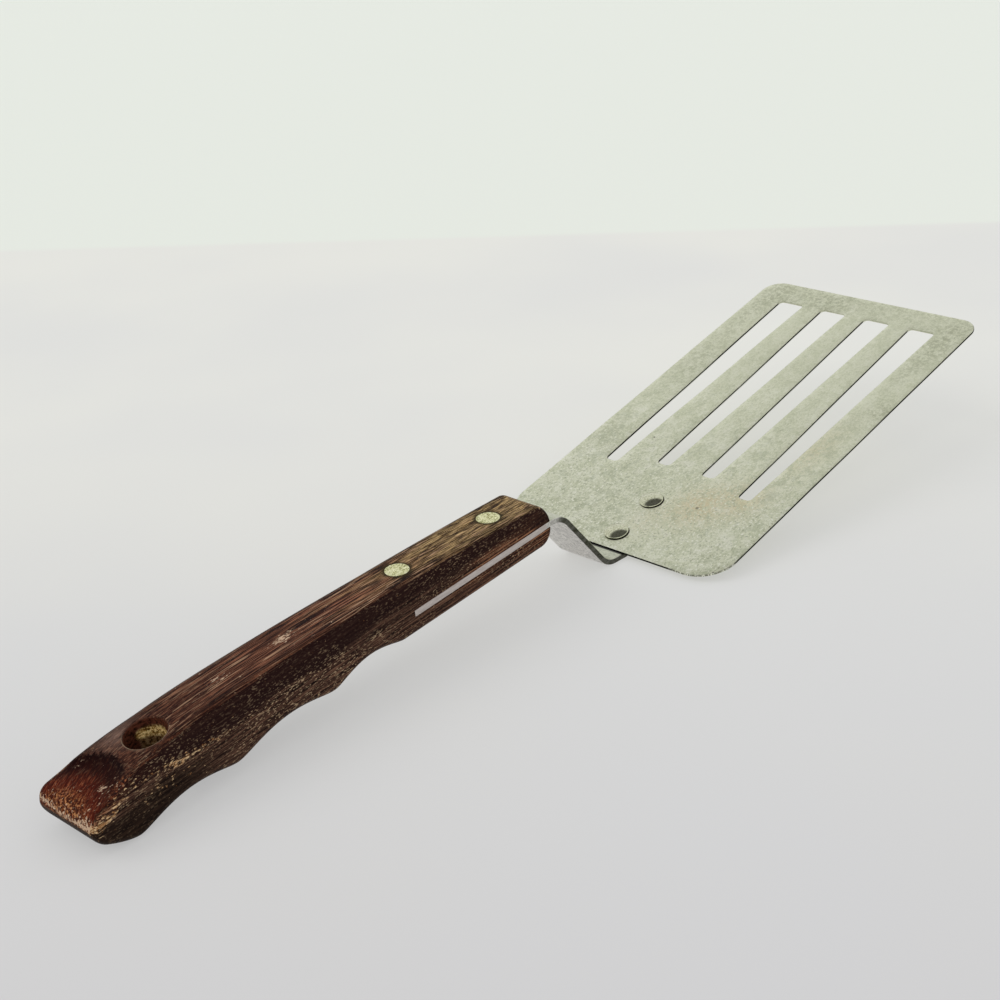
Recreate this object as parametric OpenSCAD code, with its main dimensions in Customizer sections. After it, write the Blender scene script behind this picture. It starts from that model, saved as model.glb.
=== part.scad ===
// Slotted turner: a flat slotted steel blade riveted to a cranked steel strip, with a wooden handle
// that has the strip let into a sawn slot and held by two flush rivets.
// Millimetres. X runs from the butt to the blade's far edge, Y to the left, Z up, and the part
// lies on the strip's foot and on the heel of the butt, both at Z = 0.

/* [Blade] */
// width of the blade across the slots
blade_width = 76; // [64:1:84]
// length of the blade from the near edge to the far edge
blade_length = 139; // [125:0.5:160]
// thickness of the blade's sheet
blade_sheet = 0.6; // [0.5:0.05:0.8]
// angle at which the blade rises from the table, degrees
blade_tilt = 13.6; // [10:0.2:17]
// corner radius at the far edge
far_corner = 6; // [3:0.5:9]
// corner radius at the near edge
near_corner = 10.5; // [6:0.5:14]

/* [Slots] */
// distance between the middles of neighbouring slots
slot_pitch = 15.8; // [14.6:0.1:16.6]
// distance from the near edge to the two outer slots
outer_slot_start = 34; // [33:0.5:40]
// how much further on the two inner slots start
inner_slot_setback = 4.5; // [0:0.5:6]
// metal left between the slots and the far edge
slot_end_margin = 10; // [8:0.5:14]
// slot width at the outer slots' near end
slot_near_width = 4.15; // [3.6:0.05:5]
// slot width at the far end
slot_far_width = 8.65; // [7:0.05:9.5]
// corner radius inside the slots
slot_corner = 1.3; // [0.8:0.1:1.7]

/* [Strip] */
// width of the strip, which is flush with the handle's sides
strip_width = 15.3; // [13:0.1:17]
// thickness of the strip
strip_thick = 1.65; // [1.4:0.05:2]
// radius of each bend, to the middle of the strip
bend_radius = 7.2; // [5.5:0.1:8.5]
// slope of the leg between the crest and the foot, degrees
leg_slope = 50; // [45:1:58]
// flat length that touches the table between the two bends of the foot
foot_flat = 4.1; // [3:0.1:6]
// how far the blade's near edge reaches back over the foot's bend
blade_reach_back = 1.5; // [1:0.1:2.5]
// how far the seat cut in the foot for the blade's near edge runs on behind that edge
seat_gap = 0.5; // [0.3:0.1:1]
// length of the strip under the blade, from the foot's bend
lap_length = 29; // [28:0.5:30]
// straight length between the crest's bend and the handle
tang_show = 0.8; // [0.4:0.1:3]
// length of the strip inside the handle
tang_length = 49.5; // [44:0.5:56]
// clearance between the strip and the slot sawn for it
kerf_clearance = 0.05; // [0.03:0.01:0.1]

/* [Blade rivets] */
// distance from the blade's near edge to the first rivet
blade_rivet_start = 6.7; // [6.4:0.1:7.6]
// distance between the two blade rivets
blade_rivet_pitch = 16; // [13:0.1:16.4]
// radius of a blade rivet's domed head
blade_head_radius = 3.6; // [3:0.1:4.2]
// height of a blade rivet's domed head
blade_head_height = 1.1; // [0.8:0.1:1.4]
// radius of a blade rivet's shank
blade_shank_radius = 2; // [1.6:0.1:2.3]
// radius of a blade rivet's set end under the strip
blade_tail_radius = 2.7; // [2.5:0.1:3]
// height of a blade rivet's set end
blade_tail_height = 0.5; // [0.3:0.05:0.5]
// clearance around the shanks and heads of all rivets
rivet_clearance = 0.05; // [0.03:0.01:0.1]

/* [Handle] */
// length of the handle
handle_length = 146.8; // [136:0.1:154]
// angle at which the handle rises toward the blade, degrees
handle_rise = 5.75; // [4.5:0.25:7.5]
// width of the handle at the butt
butt_width = 20.8; // [18:0.2:24]
// wood above the strip's middle at the front
front_top = 5.8; // [5.2:0.1:6.4]
// wood above the strip's middle at the crown
crown_top = 9.3; // [8.4:0.1:10.4]
// how far the top falls from the crown to the butt
butt_drop = 6.2; // [5:0.1:7]
// wood below the strip's middle at the front
front_bottom = 5.9; // [5.4:0.1:6.6]
// wood below the strip's middle at the heel
heel_bottom = 8; // [7.4:0.1:8.8]
// wood below the strip's middle at the end of the butt
butt_bottom = 3; // [2.4:0.1:3.6]
// depth of each finger groove
groove_depth = 2.4; // [1.2:0.1:3]
// radius of the top edges at the front
top_edge_front = 2.1; // [1.6:0.1:3]
// radius of the top edges over the last groove
top_edge_back = 3.6; // [2.4:0.1:4.4]
// radius of the top edges at the butt
top_edge_butt = 1.5; // [1:0.1:2.2]
// radius of the bottom edges
bottom_edge = 2.3; // [1.6:0.1:3]
// rounding of the front end, top and bottom
front_round = 3.2; // [2:0.1:3.6]
// rounding of the butt's end, top and bottom
butt_round = 3; // [2:0.1:3.6]
// rounding of the butt's end at its two sides
butt_side_round = 1.5; // [0.8:0.1:3]

/* [Handle rivets] */
// distance from the handle's front to the first rivet
handle_rivet_start = 14.2; // [11:0.1:14.4]
// distance from the tang's end to the rear rivet
rivet_from_tang_end = 3; // [2.8:0.1:6]
// radius of a handle rivet's flush head
handle_head_radius = 3.1; // [2.8:0.1:3.6]
// thickness of a handle rivet's head
handle_head_thick = 1.3; // [1:0.1:1.6]
// outside radius of a handle rivet's tube
tube_radius = 2.2; // [2:0.1:2.5]
// radius of the pin pressed into the tube
pin_radius = 1.3; // [1.1:0.1:1.5]
// clearance between the pin and the tube
pin_clearance = 0.02; // [0.01:0.01:0.04]

/* [Hanging hole] */
// distance from the end of the butt to the hole
hole_from_butt = 23.3; // [20:0.1:26]
// radius of the hole
hole_radius = 5; // [4.2:0.1:6]

/* [Hidden] */
// overrun past a surface for every cut
cut_past = 2;
// steps round each rounded edge of the handle
edge_steps = 6;
// steps round each bend of the strip
bend_steps = 10;
// facets round drilled and turned shapes
$fn = 72;

// places of the slots' middles across the blade, in slot pitches
slot_shares = [-1.5, -0.5, 0.5, 1.5];
// where along the handle the grip ridges are, the last of them the heel
grip_shares = [0.362, 0.524, 0.731, 0.924];
// how much of the way from the front's depth to the heel's depth each ridge has
grip_growth_shares = [0, 0.24, 0.64, 1];
// where along the handle its top is highest
crown_share = 0.59;
// where along the handle it starts to widen
flare_share = 0.36;
// where along the handle its top edges are roundest
back_edge_share = 0.82;
// how blunt the ridges between the grooves are
ridge_blunt_share = 0.1;
// bends of the outline before the crown, behind it, under the butt and along the sides
crown_bend_share = 1.7;
drop_bend_share = 3.2;
butt_bend_share = 1.5;
flare_bend_share = 1.2;
// largest share of a section's height that an edge radius may take
edge_limit_share = 0.45;

function mix(a, b, share) = a + (b - a) * share;
function clamp01(share) = min(1, max(0, share));

// depth below the strip's middle at grip ridge i
function ridge(i) = mix(front_bottom, heel_bottom, grip_growth_shares[i]);
// a half wave with its cusps blunted, 0 at both ends and 1 in the middle
function groove_wave(share) =
  let (wave = sin(180 * clamp01(share)),
       full = sqrt(1 + ridge_blunt_share ^ 2) - ridge_blunt_share)
  (sqrt(wave ^ 2 + ridge_blunt_share ^ 2) - ridge_blunt_share) / full;

// how far a corner of radius r pulls the outline in at a distance d from the end
function end_pull(d, r) = d >= r ? 0 : r - sqrt(r ^ 2 - (r - max(0, d)) ^ 2);
function ends_pull(s) = end_pull(s, front_round) + end_pull(handle_length - s, butt_round);

// height of the top at a distance s behind the front, before the ends are rounded
function plain_top(s) =
  let (at = s / handle_length,
       before = clamp01((crown_share - at) / crown_share),
       after = clamp01((at - crown_share) / (1 - crown_share)))
  crown_top - (crown_top - front_top) * before ^ crown_bend_share
    - butt_drop * after ^ drop_bend_share;

// height of the bottom, likewise
function plain_bottom(s) =
  let (at = s / handle_length,
       last = len(grip_shares) - 1,
       i = at < grip_shares[0] ? -1 : at < grip_shares[1] ? 0 : at < grip_shares[2] ? 1
         : at < grip_shares[last] ? 2 : last)
  i < 0 ? -mix(front_bottom, ridge(0), at / grip_shares[0])
  : i == last ? -mix(ridge(last), butt_bottom,
                     ((at - grip_shares[last]) / (1 - grip_shares[last])) ^ butt_bend_share)
  : let (share = (at - grip_shares[i]) / (grip_shares[i + 1] - grip_shares[i]))
    groove_depth * groove_wave(share) - mix(ridge(i), ridge(i + 1), share);

// the same heights with the ends rounded, the half width and the radius of the top edges
function top_at(s) = plain_top(s) - ends_pull(s);
function bottom_at(s) = plain_bottom(s) + ends_pull(s);
function half_at(s) =
  let (share = clamp01((s / handle_length - flare_share) / (1 - flare_share)))
  mix(strip_width, butt_width, share ^ flare_bend_share) / 2
  - end_pull(handle_length - s, butt_side_round);
function top_edge_at(s) =
  let (at = s / handle_length)
  at < back_edge_share ? mix(top_edge_front, top_edge_back, at / back_edge_share)
  : mix(top_edge_back, top_edge_butt, (at - back_edge_share) / (1 - back_edge_share));

// distances of the handle's sections: close together where the ends round over
front_steps = 5;
long_steps = 54;
stations = concat(
  [for (i = [0 : front_steps - 1]) front_round * (1 - cos(90 * i / front_steps))],
  [for (i = [0 : long_steps]) mix(front_round, handle_length - butt_round, i / long_steps)],
  [for (i = [1 : front_steps]) handle_length - butt_round * (1 - sin(90 * i / front_steps))]);

// one section: points [y, z] anticlockwise from the lower right corner
function corner(y, z, r, from) =
  [for (k = [0 : edge_steps]) let (a = from + 90 * k / edge_steps) [y + r * cos(a), z + r * sin(a)]];
function section(s) =
  let (h = half_at(s), t = top_at(s), b = bottom_at(s),
       limit = (t - b) * edge_limit_share,
       rt = min(top_edge_at(s), limit), rb = min(bottom_edge, limit))
  concat(corner(h - rb, b + rb, rb, -90), corner(h - rt, t - rt, rt, 0),
         corner(rt - h, t - rt, rt, 90), corner(rb - h, b + rb, rb, 180));

// height of the strip's middle at the handle's front that lets the heel touch the table
handle_lift = max([for (s = stations) s * sin(handle_rise) - bottom_at(s) * cos(handle_rise)]);
// whole turn of the crest's bend, and how far it drops from the tang to the leg
crest_turn = leg_slope + handle_rise;
crest_fall = bend_radius * (cos(handle_rise) - cos(leg_slope));
// how far the foot's bend rises from the table to the leg
foot_rise = bend_radius * (1 - cos(leg_slope));
// straight length of the leg
leg_length = (handle_lift + tang_show * sin(handle_rise) - strip_thick / 2 - foot_rise - crest_fall)
  / sin(leg_slope);
// level distance from the middle of the foot back to the handle's front
front_back = foot_flat / 2 + bend_radius * sin(leg_slope) + leg_length * cos(leg_slope)
  + bend_radius * (sin(leg_slope) + sin(handle_rise)) + tang_show * cos(handle_rise);
// level distance from the handle's front back to the end of the butt
handle_back = max([for (s = stations) s * cos(handle_rise) + top_at(s) * sin(handle_rise)]);
// level distance from the middle of the foot to the corner its second bend would have if sharp
bend_corner = foot_flat / 2 + bend_radius * tan(blade_tilt / 2);
// level distance from the middle of the foot to the blade's far edge
blade_front = bend_corner + (blade_length - blade_reach_back) * cos(blade_tilt)
  - strip_thick / 2 * sin(blade_tilt);
// where the middle of the foot lies, so that the part is centred along X
foot_x = (front_back + handle_back - blade_front) / 2;
// distance from the blade's near edge to where the strip's bend ends, all of it in the seat
seat_reach = blade_reach_back + bend_radius * tan(blade_tilt / 2);
// distance from the blade's near edge to the strip's far end
lap_reach = seat_reach + lap_length;
// places of the blade rivets from the near edge and of the handle rivets from the front
blade_rivets = [blade_rivet_start, blade_rivet_start + blade_rivet_pitch];
handle_rivets = [handle_rivet_start, tang_length - rivet_from_tang_end];
// height of the slot sawn for the strip
kerf = strip_thick + 2 * kerf_clearance;

// places children in the blade's frame: near edge at X = 0, strip's top face at Z = 0
module in_blade() {
  translate([foot_x + bend_corner, 0, strip_thick / 2])
    rotate([0, -blade_tilt, 0])
      translate([-blade_reach_back, 0, strip_thick / 2])
        children();
}

// places children in the handle's frame: front at X = 0, wood toward -X, strip's middle at Z = 0
module in_handle() {
  translate([foot_x - front_back, 0, handle_lift])
    rotate([0, -handle_rise, 0])
      children();
}

// a round bar along Z from z0 to z1
module bar(r, z0, z1) {
  translate([0, 0, z0])
    cylinder(r = r, h = z1 - z0);
}

// centre line of a strip walked from a start [x, z, heading]: each step is a straight [length, 0]
// or a bend [radius, turn in degrees, up is plus]; gives a list of [x, z, heading]
function walk(steps, at, i = 0) =
  i == len(steps) ? []
  : let (size = steps[i][0], turn = steps[i][1], n = turn == 0 ? 1 : bend_steps,
         here = [for (k = [1 : n]) turn == 0
           ? [at[0] + size * cos(at[2]), at[1] + size * sin(at[2]), at[2]]
           : let (heading = at[2] + turn * k / n, up = sign(turn))
             [at[0] + up * size * (sin(heading) - sin(at[2])),
              at[1] - up * size * (cos(heading) - cos(at[2])), heading]])
    concat(here, walk(steps, here[n - 1], i + 1));

// flat strip along a walked centre line, seen from the side
module strip(steps) {
  line = concat([[0, 0, 0]], walk(steps, [0, 0, 0]));
  half = strip_thick / 2;
  rotate([90, 0, 0])
    linear_extrude(height = strip_width, center = true)
      polygon(concat(
        [for (p = line) [p[0] + half * sin(p[2]), p[1] - half * cos(p[2])]],
        [for (i = [len(line) - 1 : -1 : 0]) let (p = line[i])
          [p[0] - half * sin(p[2]), p[1] + half * cos(p[2])]]));
}

// slot outline along X from its near end, tapered, with small corners
module slot_outline(start) {
  end = blade_length - slot_end_margin;
  slope = (slot_far_width - slot_near_width) / (end - outer_slot_start);
  near = slot_near_width + slope * (start - outer_slot_start);
  near_half = near / 2 - slot_corner;
  far_half = slot_far_width / 2 - slot_corner;
  x0 = start + slot_corner;
  x1 = end - slot_corner;
  lean = atan(slope / 2);
  polygon(concat(
    [for (k = [0 : edge_steps]) let (a = 180 + (90 - lean) * k / edge_steps)
      [x0, -near_half] + slot_corner * [cos(a), sin(a)]],
    [for (k = [0 : edge_steps]) let (a = 270 - lean + (90 + lean) * k / edge_steps)
      [x1, -far_half] + slot_corner * [cos(a), sin(a)]],
    [for (k = [0 : edge_steps]) let (a = (90 + lean) * k / edge_steps)
      [x1, far_half] + slot_corner * [cos(a), sin(a)]],
    [for (k = [0 : edge_steps]) let (a = 90 + lean + (90 - lean) * k / edge_steps)
      [x0, near_half] + slot_corner * [cos(a), sin(a)]]));
}

// plate with two near corners and two far corners of true radius
module blade_plate() {
  for (side = [-1, 1]) {
    translate([near_corner, side * (blade_width / 2 - near_corner), 0])
      cylinder(r = near_corner, h = blade_sheet);
    translate([blade_length - far_corner, side * (blade_width / 2 - far_corner), 0])
      cylinder(r = far_corner, h = blade_sheet);
  }
  translate([near_corner, -blade_width / 2, 0])
    cube([blade_length - near_corner - far_corner, blade_width, blade_sheet]);
  translate([0, near_corner - blade_width / 2, 0])
    cube([near_corner, blade_width - 2 * near_corner, blade_sheet]);
  translate([blade_length - far_corner, far_corner - blade_width / 2, 0])
    cube([far_corner, blade_width - 2 * far_corner, blade_sheet]);
}

module blade() {
  color([0.74, 0.75, 0.69])
    in_blade()
      difference() {
        blade_plate();
        for (share = slot_shares)
          translate([0, share * slot_pitch, -cut_past])
            linear_extrude(height = blade_sheet + 2 * cut_past)
              slot_outline(outer_slot_start + (abs(share) < 1 ? inner_slot_setback : 0));
        for (x = blade_rivets)
          translate([x, 0, 0])
            bar(blade_shank_radius + rivet_clearance, -cut_past, blade_sheet + cut_past);
      }
}

module shank() {
  color([0.6, 0.59, 0.57])
    difference() {
      in_blade()
        translate([lap_reach, 0, -strip_thick / 2])
          rotate([0, 0, 180])
            strip([[lap_length, 0], [bend_radius, blade_tilt], [foot_flat, 0],
                   [bend_radius, leg_slope], [leg_length, 0], [bend_radius, -crest_turn],
                   [tang_show + tang_length, 0]]);
      in_blade()
        for (x = blade_rivets)
          translate([x, 0, 0])
            bar(blade_shank_radius + rivet_clearance, -strip_thick - cut_past, cut_past);
      in_blade()
        translate([-seat_gap, -strip_width / 2 - cut_past, 0])
          cube([seat_gap + seat_reach, strip_width + 2 * cut_past, strip_thick]);
      in_handle()
        for (s = handle_rivets)
          translate([-s, 0, 0])
            bar(tube_radius + rivet_clearance, -strip_thick - cut_past, strip_thick + cut_past);
    }
}

// domed head on the blade, shank through both sheets and a low set end under the strip
module blade_rivet(x) {
  dome = (blade_head_radius ^ 2 + blade_head_height ^ 2) / (2 * blade_head_height);
  color([0.72, 0.72, 0.66])
    in_blade()
      translate([x, 0, 0]) {
        intersection() {
          translate([0, 0, blade_sheet + blade_head_height - dome])
            sphere(r = dome);
          bar(blade_head_radius, blade_sheet, blade_sheet + blade_head_height);
        }
        bar(blade_shank_radius, -strip_thick - blade_tail_height, blade_sheet);
        bar(blade_tail_radius, -strip_thick - blade_tail_height, -strip_thick);
      }
}

module blade_rivet_near() {
  blade_rivet(blade_rivets[0]);
}

module blade_rivet_far() {
  blade_rivet(blade_rivets[1]);
}

// the handle before anything is cut from it
module handle_form() {
  rings = [for (s = stations) [for (p = section(s)) [-s, p[0], p[1]]]];
  n = len(rings[0]);
  last = len(rings) - 1;
  polyhedron(
    points = [for (ring = rings) each ring],
    faces = concat(
      [[for (k = [n - 1 : -1 : 0]) k]],
      [for (i = [0 : last - 1], k = [0 : n - 1]) let (m = (k + 1) % n)
        each [[i * n + k, i * n + m, (i + 1) * n + k], [i * n + m, (i + 1) * n + m, (i + 1) * n + k]]],
      [[for (k = [0 : n - 1]) last * n + k]]));
}

module handle() {
  hole_s = handle_length - hole_from_butt;
  color([0.24, 0.13, 0.1])
    in_handle()
      difference() {
        handle_form();
        translate([-tang_length - kerf_clearance, -strip_width / 2 - cut_past, -kerf / 2])
          cube([tang_length + kerf_clearance + cut_past, strip_width + 2 * cut_past, kerf]);
        for (s = handle_rivets)
          translate([-s, 0, 0]) {
            bar(tube_radius + rivet_clearance, plain_bottom(s) - cut_past, plain_top(s) + cut_past);
            bar(handle_head_radius + rivet_clearance, plain_top(s) - handle_head_thick,
                plain_top(s) + cut_past);
            bar(handle_head_radius + rivet_clearance, plain_bottom(s) - cut_past,
                plain_bottom(s) + handle_head_thick);
          }
        translate([-hole_s, 0, 0])
          bar(hole_radius, plain_bottom(hole_s) - cut_past, plain_top(hole_s) + cut_past);
      }
}

// upper half of a handle rivet: head and tube, turned from one outline
module rivet_tube(s) {
  top = plain_top(s);
  shoulder = top - handle_head_thick;
  foot = plain_bottom(s) + handle_head_thick;
  bore = pin_radius + pin_clearance;
  color([0.83, 0.81, 0.62])
    in_handle()
      translate([-s, 0, 0])
        rotate_extrude()
          polygon([[0, top], [0, shoulder], [bore, shoulder], [bore, foot], [tube_radius, foot],
                   [tube_radius, shoulder], [handle_head_radius, shoulder],
                   [handle_head_radius, top]]);
}

// lower half of a handle rivet: head and pin, turned from one outline
module rivet_pin(s) {
  bottom = plain_bottom(s);
  shoulder = bottom + handle_head_thick;
  tip = plain_top(s) - handle_head_thick;
  color([0.83, 0.81, 0.62])
    in_handle()
      translate([-s, 0, 0])
        rotate_extrude()
          polygon([[0, bottom], [handle_head_radius, bottom], [handle_head_radius, shoulder],
                   [pin_radius, shoulder], [pin_radius, tip], [0, tip]]);
}

module rivet_tube_front() {
  rivet_tube(handle_rivets[0]);
}

module rivet_pin_front() {
  rivet_pin(handle_rivets[0]);
}

module rivet_tube_rear() {
  rivet_tube(handle_rivets[1]);
}

module rivet_pin_rear() {
  rivet_pin(handle_rivets[1]);
}

blade();
shank();
handle();
blade_rivet_near();
blade_rivet_far();
rivet_tube_front();
rivet_pin_front();
rivet_tube_rear();
rivet_pin_rear();
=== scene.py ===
"""Slotted turner dressed for looks: worn steel blade, cranked steel strip and a dark wooden handle.

Every shape is worked out with numpy in millimetres in its own plain frame, then placed in the
row's frame in metres. Each finish is a small class that writes one node material.
"""

from __future__ import annotations

import logging
import math
from dataclasses import dataclass, field
from enum import Enum

import bmesh
import bpy
import numpy as np
from mathutils import Matrix, Vector
from mathutils.geometry import delaunay_2d_cdt

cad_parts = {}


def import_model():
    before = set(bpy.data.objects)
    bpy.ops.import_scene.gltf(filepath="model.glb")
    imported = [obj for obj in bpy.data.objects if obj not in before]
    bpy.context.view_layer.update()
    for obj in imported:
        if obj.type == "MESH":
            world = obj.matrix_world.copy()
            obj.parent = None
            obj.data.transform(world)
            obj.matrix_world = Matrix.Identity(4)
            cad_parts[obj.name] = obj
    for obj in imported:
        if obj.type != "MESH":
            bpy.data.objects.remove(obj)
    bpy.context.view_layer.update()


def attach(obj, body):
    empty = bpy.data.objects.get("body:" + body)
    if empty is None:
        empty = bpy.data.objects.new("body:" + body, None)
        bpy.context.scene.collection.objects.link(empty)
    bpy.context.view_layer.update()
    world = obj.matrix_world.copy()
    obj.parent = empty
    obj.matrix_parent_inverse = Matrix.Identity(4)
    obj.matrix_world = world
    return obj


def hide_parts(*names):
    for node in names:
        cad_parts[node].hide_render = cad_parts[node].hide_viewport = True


LOG = logging.getLogger("turner")
MM = 0.001
QUARTER = math.pi / 2
FULL_TURN = 2 * math.pi
BLACK = "#000000"
WELD = 2e-6  # metres: points closer than this become one
SLIVER = 1e-7  # metres: faces thinner than this go
TINY = 1e-6  # millimetres: lengths under this count as none

Array = np.ndarray
Piece = bpy.types.Object
Triple = tuple[float, float, float]
Table = tuple[tuple[float, float], ...]
Spots = tuple[tuple[float, float, float, float, float], ...]
Sizes = tuple[float, ...]
Tones = tuple[str, ...]


class Slot(Enum):
    """The record's material slots."""

    BLADE = "blade"
    SHANK = "shank"
    HANDLE = "handle"
    BLADE_RIVETS = "blade_rivets"
    HANDLE_RIVETS = "handle_rivets"


class Mark(Enum):
    """Names of the values that the meshes carry for their finishes."""

    EDGE = "edge"
    INSIDE = "inside"
    UPWARD = "upward"
    SHADE = "shade"
    FACET = "facet"
    OLIVE = "olive"
    BRINK = "brink"
    WORN = "worn"
    # real stains on the blade, painted light in the handle's hole
    STAIN = "stain"


# ------------------------------------------------------------------ shapes


@dataclass(frozen=True)
class Placing:
    """Where a sub-assembly's plain frame lies in the row's frame.

    Args:
        origin: the plain frame's origin, in millimetres.
        rise: how far its X axis rises toward +X, in degrees.
    """

    origin: Triple
    rise: float

    def to_row(self, points: Array) -> Array:
        """Turn points about Y by the rise and move them by the origin.

        Args:
            points: one point in each row, in millimetres.

        Returns:
            The same points in the row's frame, in millimetres.
        """
        c, s = math.cos(math.radians(self.rise)), math.sin(math.radians(self.rise))
        x, y, z = points.T
        return joined(x * c - z * s, y, x * s + z * c) + np.asarray(self.origin)

    def spot(self, x: float, z: float) -> Triple:
        """The row's place of one point of the plain frame's middle plane, in millimetres."""
        return tuple(self.to_row(np.array([[x, 0, z]]))[0])


def joined(*parts: Array) -> Array:
    """Points from their parts, each spread to the shape that all of them share."""
    return np.stack(np.broadcast_arrays(*parts), axis=-1)


def share_of(value: Array) -> Array:
    """A share held between 0 and 1."""
    return np.clip(value, 0, 1)


def smooth(value: Array | float, low: float, high: float) -> Array:
    """0 below low, 1 above high, and 3t^2 - 2t^3 between them."""
    t = share_of((np.asarray(value, float) - low) / (high - low))
    return t * t * (3 - 2 * t)


def sag(radius: Array | float, away: Array) -> Array:
    """How far a quarter circle has fallen at a distance away from its top."""
    return radius - np.sqrt(np.maximum(radius * radius - away * away, 0))


def quarter(steps: int, start: float = 0) -> Array:
    """Angles from a start to a right angle, in even steps."""
    return np.linspace(start, QUARTER, steps + 1)


def along(place: Array, table: Table) -> Array:
    """Values read by straight lines off a table of (place, value)."""
    return np.interp(place, *zip(*table))


def blots(x: Array, y: Array, spots: Spots) -> Array:
    """The sum of soft oval spots, each of (x, y, its two radii, strength)."""
    return sum(a * np.exp(-(((x - p) / u) ** 2) - ((y - q) / v) ** 2) for p, q, u, v, a in spots)


def bell(value: Array, middle: Array | float, width: Array | float) -> Array:
    """A bell curve: 1 at its middle, about a third at its width from there."""
    return np.exp(-(((value - middle) / width) ** 2))


def in_scene(name: str, data: bpy.types.ID) -> bpy.types.Object:
    """A new object in the scene."""
    thing = bpy.data.objects.new(name, data)
    bpy.context.scene.collection.objects.link(thing)
    return thing


def grid_faces(rows: int, columns: int, closed: bool) -> Array:
    """Quads between the neighbouring points of a grid that is stored row by row.

    Args:
        rows: number of rows.
        columns: number of points in a row.
        closed: whether each row's end joins its start.

    Returns:
        One quad of four indices in each row.
    """
    i, k = np.meshgrid(np.arange(rows - 1), np.arange(columns if closed else columns - 1), indexing="ij")
    here, there = i * columns, (i + 1) * columns
    m = (k + 1) % columns
    return np.stack([here + k, here + m, there + m, there + k], axis=-1).reshape(-1, 4)


class Patchwork:
    """Grids and flat faces gathered into one mesh whose seams are then closed."""

    def __init__(self) -> None:
        """Start with nothing."""
        self.points: list[Array] = []
        self.faces: list[list[int]] = []
        self.marks: dict[Mark, list[Array]] = {mark: [] for mark in Mark}
        self.count = 0

    def add(self, points: Array, faces: list[list[int]] | Array, **marks: Array | float) -> None:
        """Add points with their faces and marks.

        Args:
            points: one point in each row, in millimetres.
            faces: faces of indices into these points.
            marks: a value for each point, or one for all, by the mark's name.
        """
        self.faces += [[self.count + i for i in face] for face in np.asarray(faces).tolist()]
        for mark, parts in self.marks.items():
            parts.append(np.broadcast_to(np.asarray(marks.get(mark.value, 0), float), (len(points),)))
        self.points.append(points)
        self.count += len(points)

    def sheet(self, ring: Array, **marks: Array | float) -> None:
        """Add the one flat face inside a ring of points."""
        self.add(ring, [list(range(len(ring)))], **marks)

    def grid(self, points: Array, closed: bool = False, **marks: Array | float) -> None:
        """Add a grid of shape (rows, columns, 3), joined round each row where closed."""
        rows, columns = points.shape[:2]
        flat = {name: np.broadcast_to(value, (rows, columns)).ravel() for name, value in marks.items()}
        self.add(points.reshape(-1, 3), grid_faces(rows, columns, closed), **flat)

    def piece(self, name: str, placing: Placing | None, slot: Slot, replaced: tuple[str, ...],
              crease: float = 40) -> Piece:
        """Make the object: placed, its seams closed, its faces outward and smooth up to the crease.

        Args:
            name: the piece's name.
            placing: where its plain frame lies, or None where it is the row's own.
            slot: the record's slot that it takes its finish from; not used here.
            replaced: the CAD nodes that it stands for.
            crease: the angle in degrees past which an edge stays sharp.

        Returns:
            The new object, riding on the one body.
        """
        points = np.concatenate(self.points)
        if placing is not None:
            points = placing.to_row(points)
        mesh = bpy.data.meshes.new(name)
        mesh.from_pydata((points * MM).tolist(), [], self.faces)
        for mark, parts in self.marks.items():
            values = np.concatenate(parts)
            if values.any():
                layer = mesh.attributes.new(mark.value, "FLOAT", "POINT")
                layer.data.foreach_set("value", values.astype(np.float32))
        work = bmesh.new()
        work.from_mesh(mesh)
        bmesh.ops.remove_doubles(work, verts=work.verts, dist=WELD)
        bmesh.ops.dissolve_degenerate(work, edges=work.edges, dist=SLIVER)
        bmesh.ops.recalc_face_normals(work, faces=work.faces)
        for face in work.faces:
            face.smooth = True
        for edge in work.edges:
            edge.smooth = len(edge.link_faces) == 2 and edge.calc_face_angle(0) < math.radians(crease)
        open_edges = sum(len(edge.link_faces) != 2 for edge in work.edges)
        work.to_mesh(mesh)
        work.free()
        thing = in_scene(name, mesh)
        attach(thing, "root")
        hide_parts(*replaced)
        LOG.info("%s: %d points, %d faces, %d open edges", name, len(mesh.vertices), len(mesh.polygons), open_edges)
        return thing


# ---------------------------------------------------------------- finishes


def linear(code: str) -> Triple:
    """A screen colour's code as the linear colour that a shader takes."""
    screen = (int(code[i:i + 2], 16) / 255 for i in (1, 3, 5))
    return tuple(c / 12.92 if c <= 0.04045 else ((c + 0.055) / 1.055) ** 2.4 for c in screen)


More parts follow.
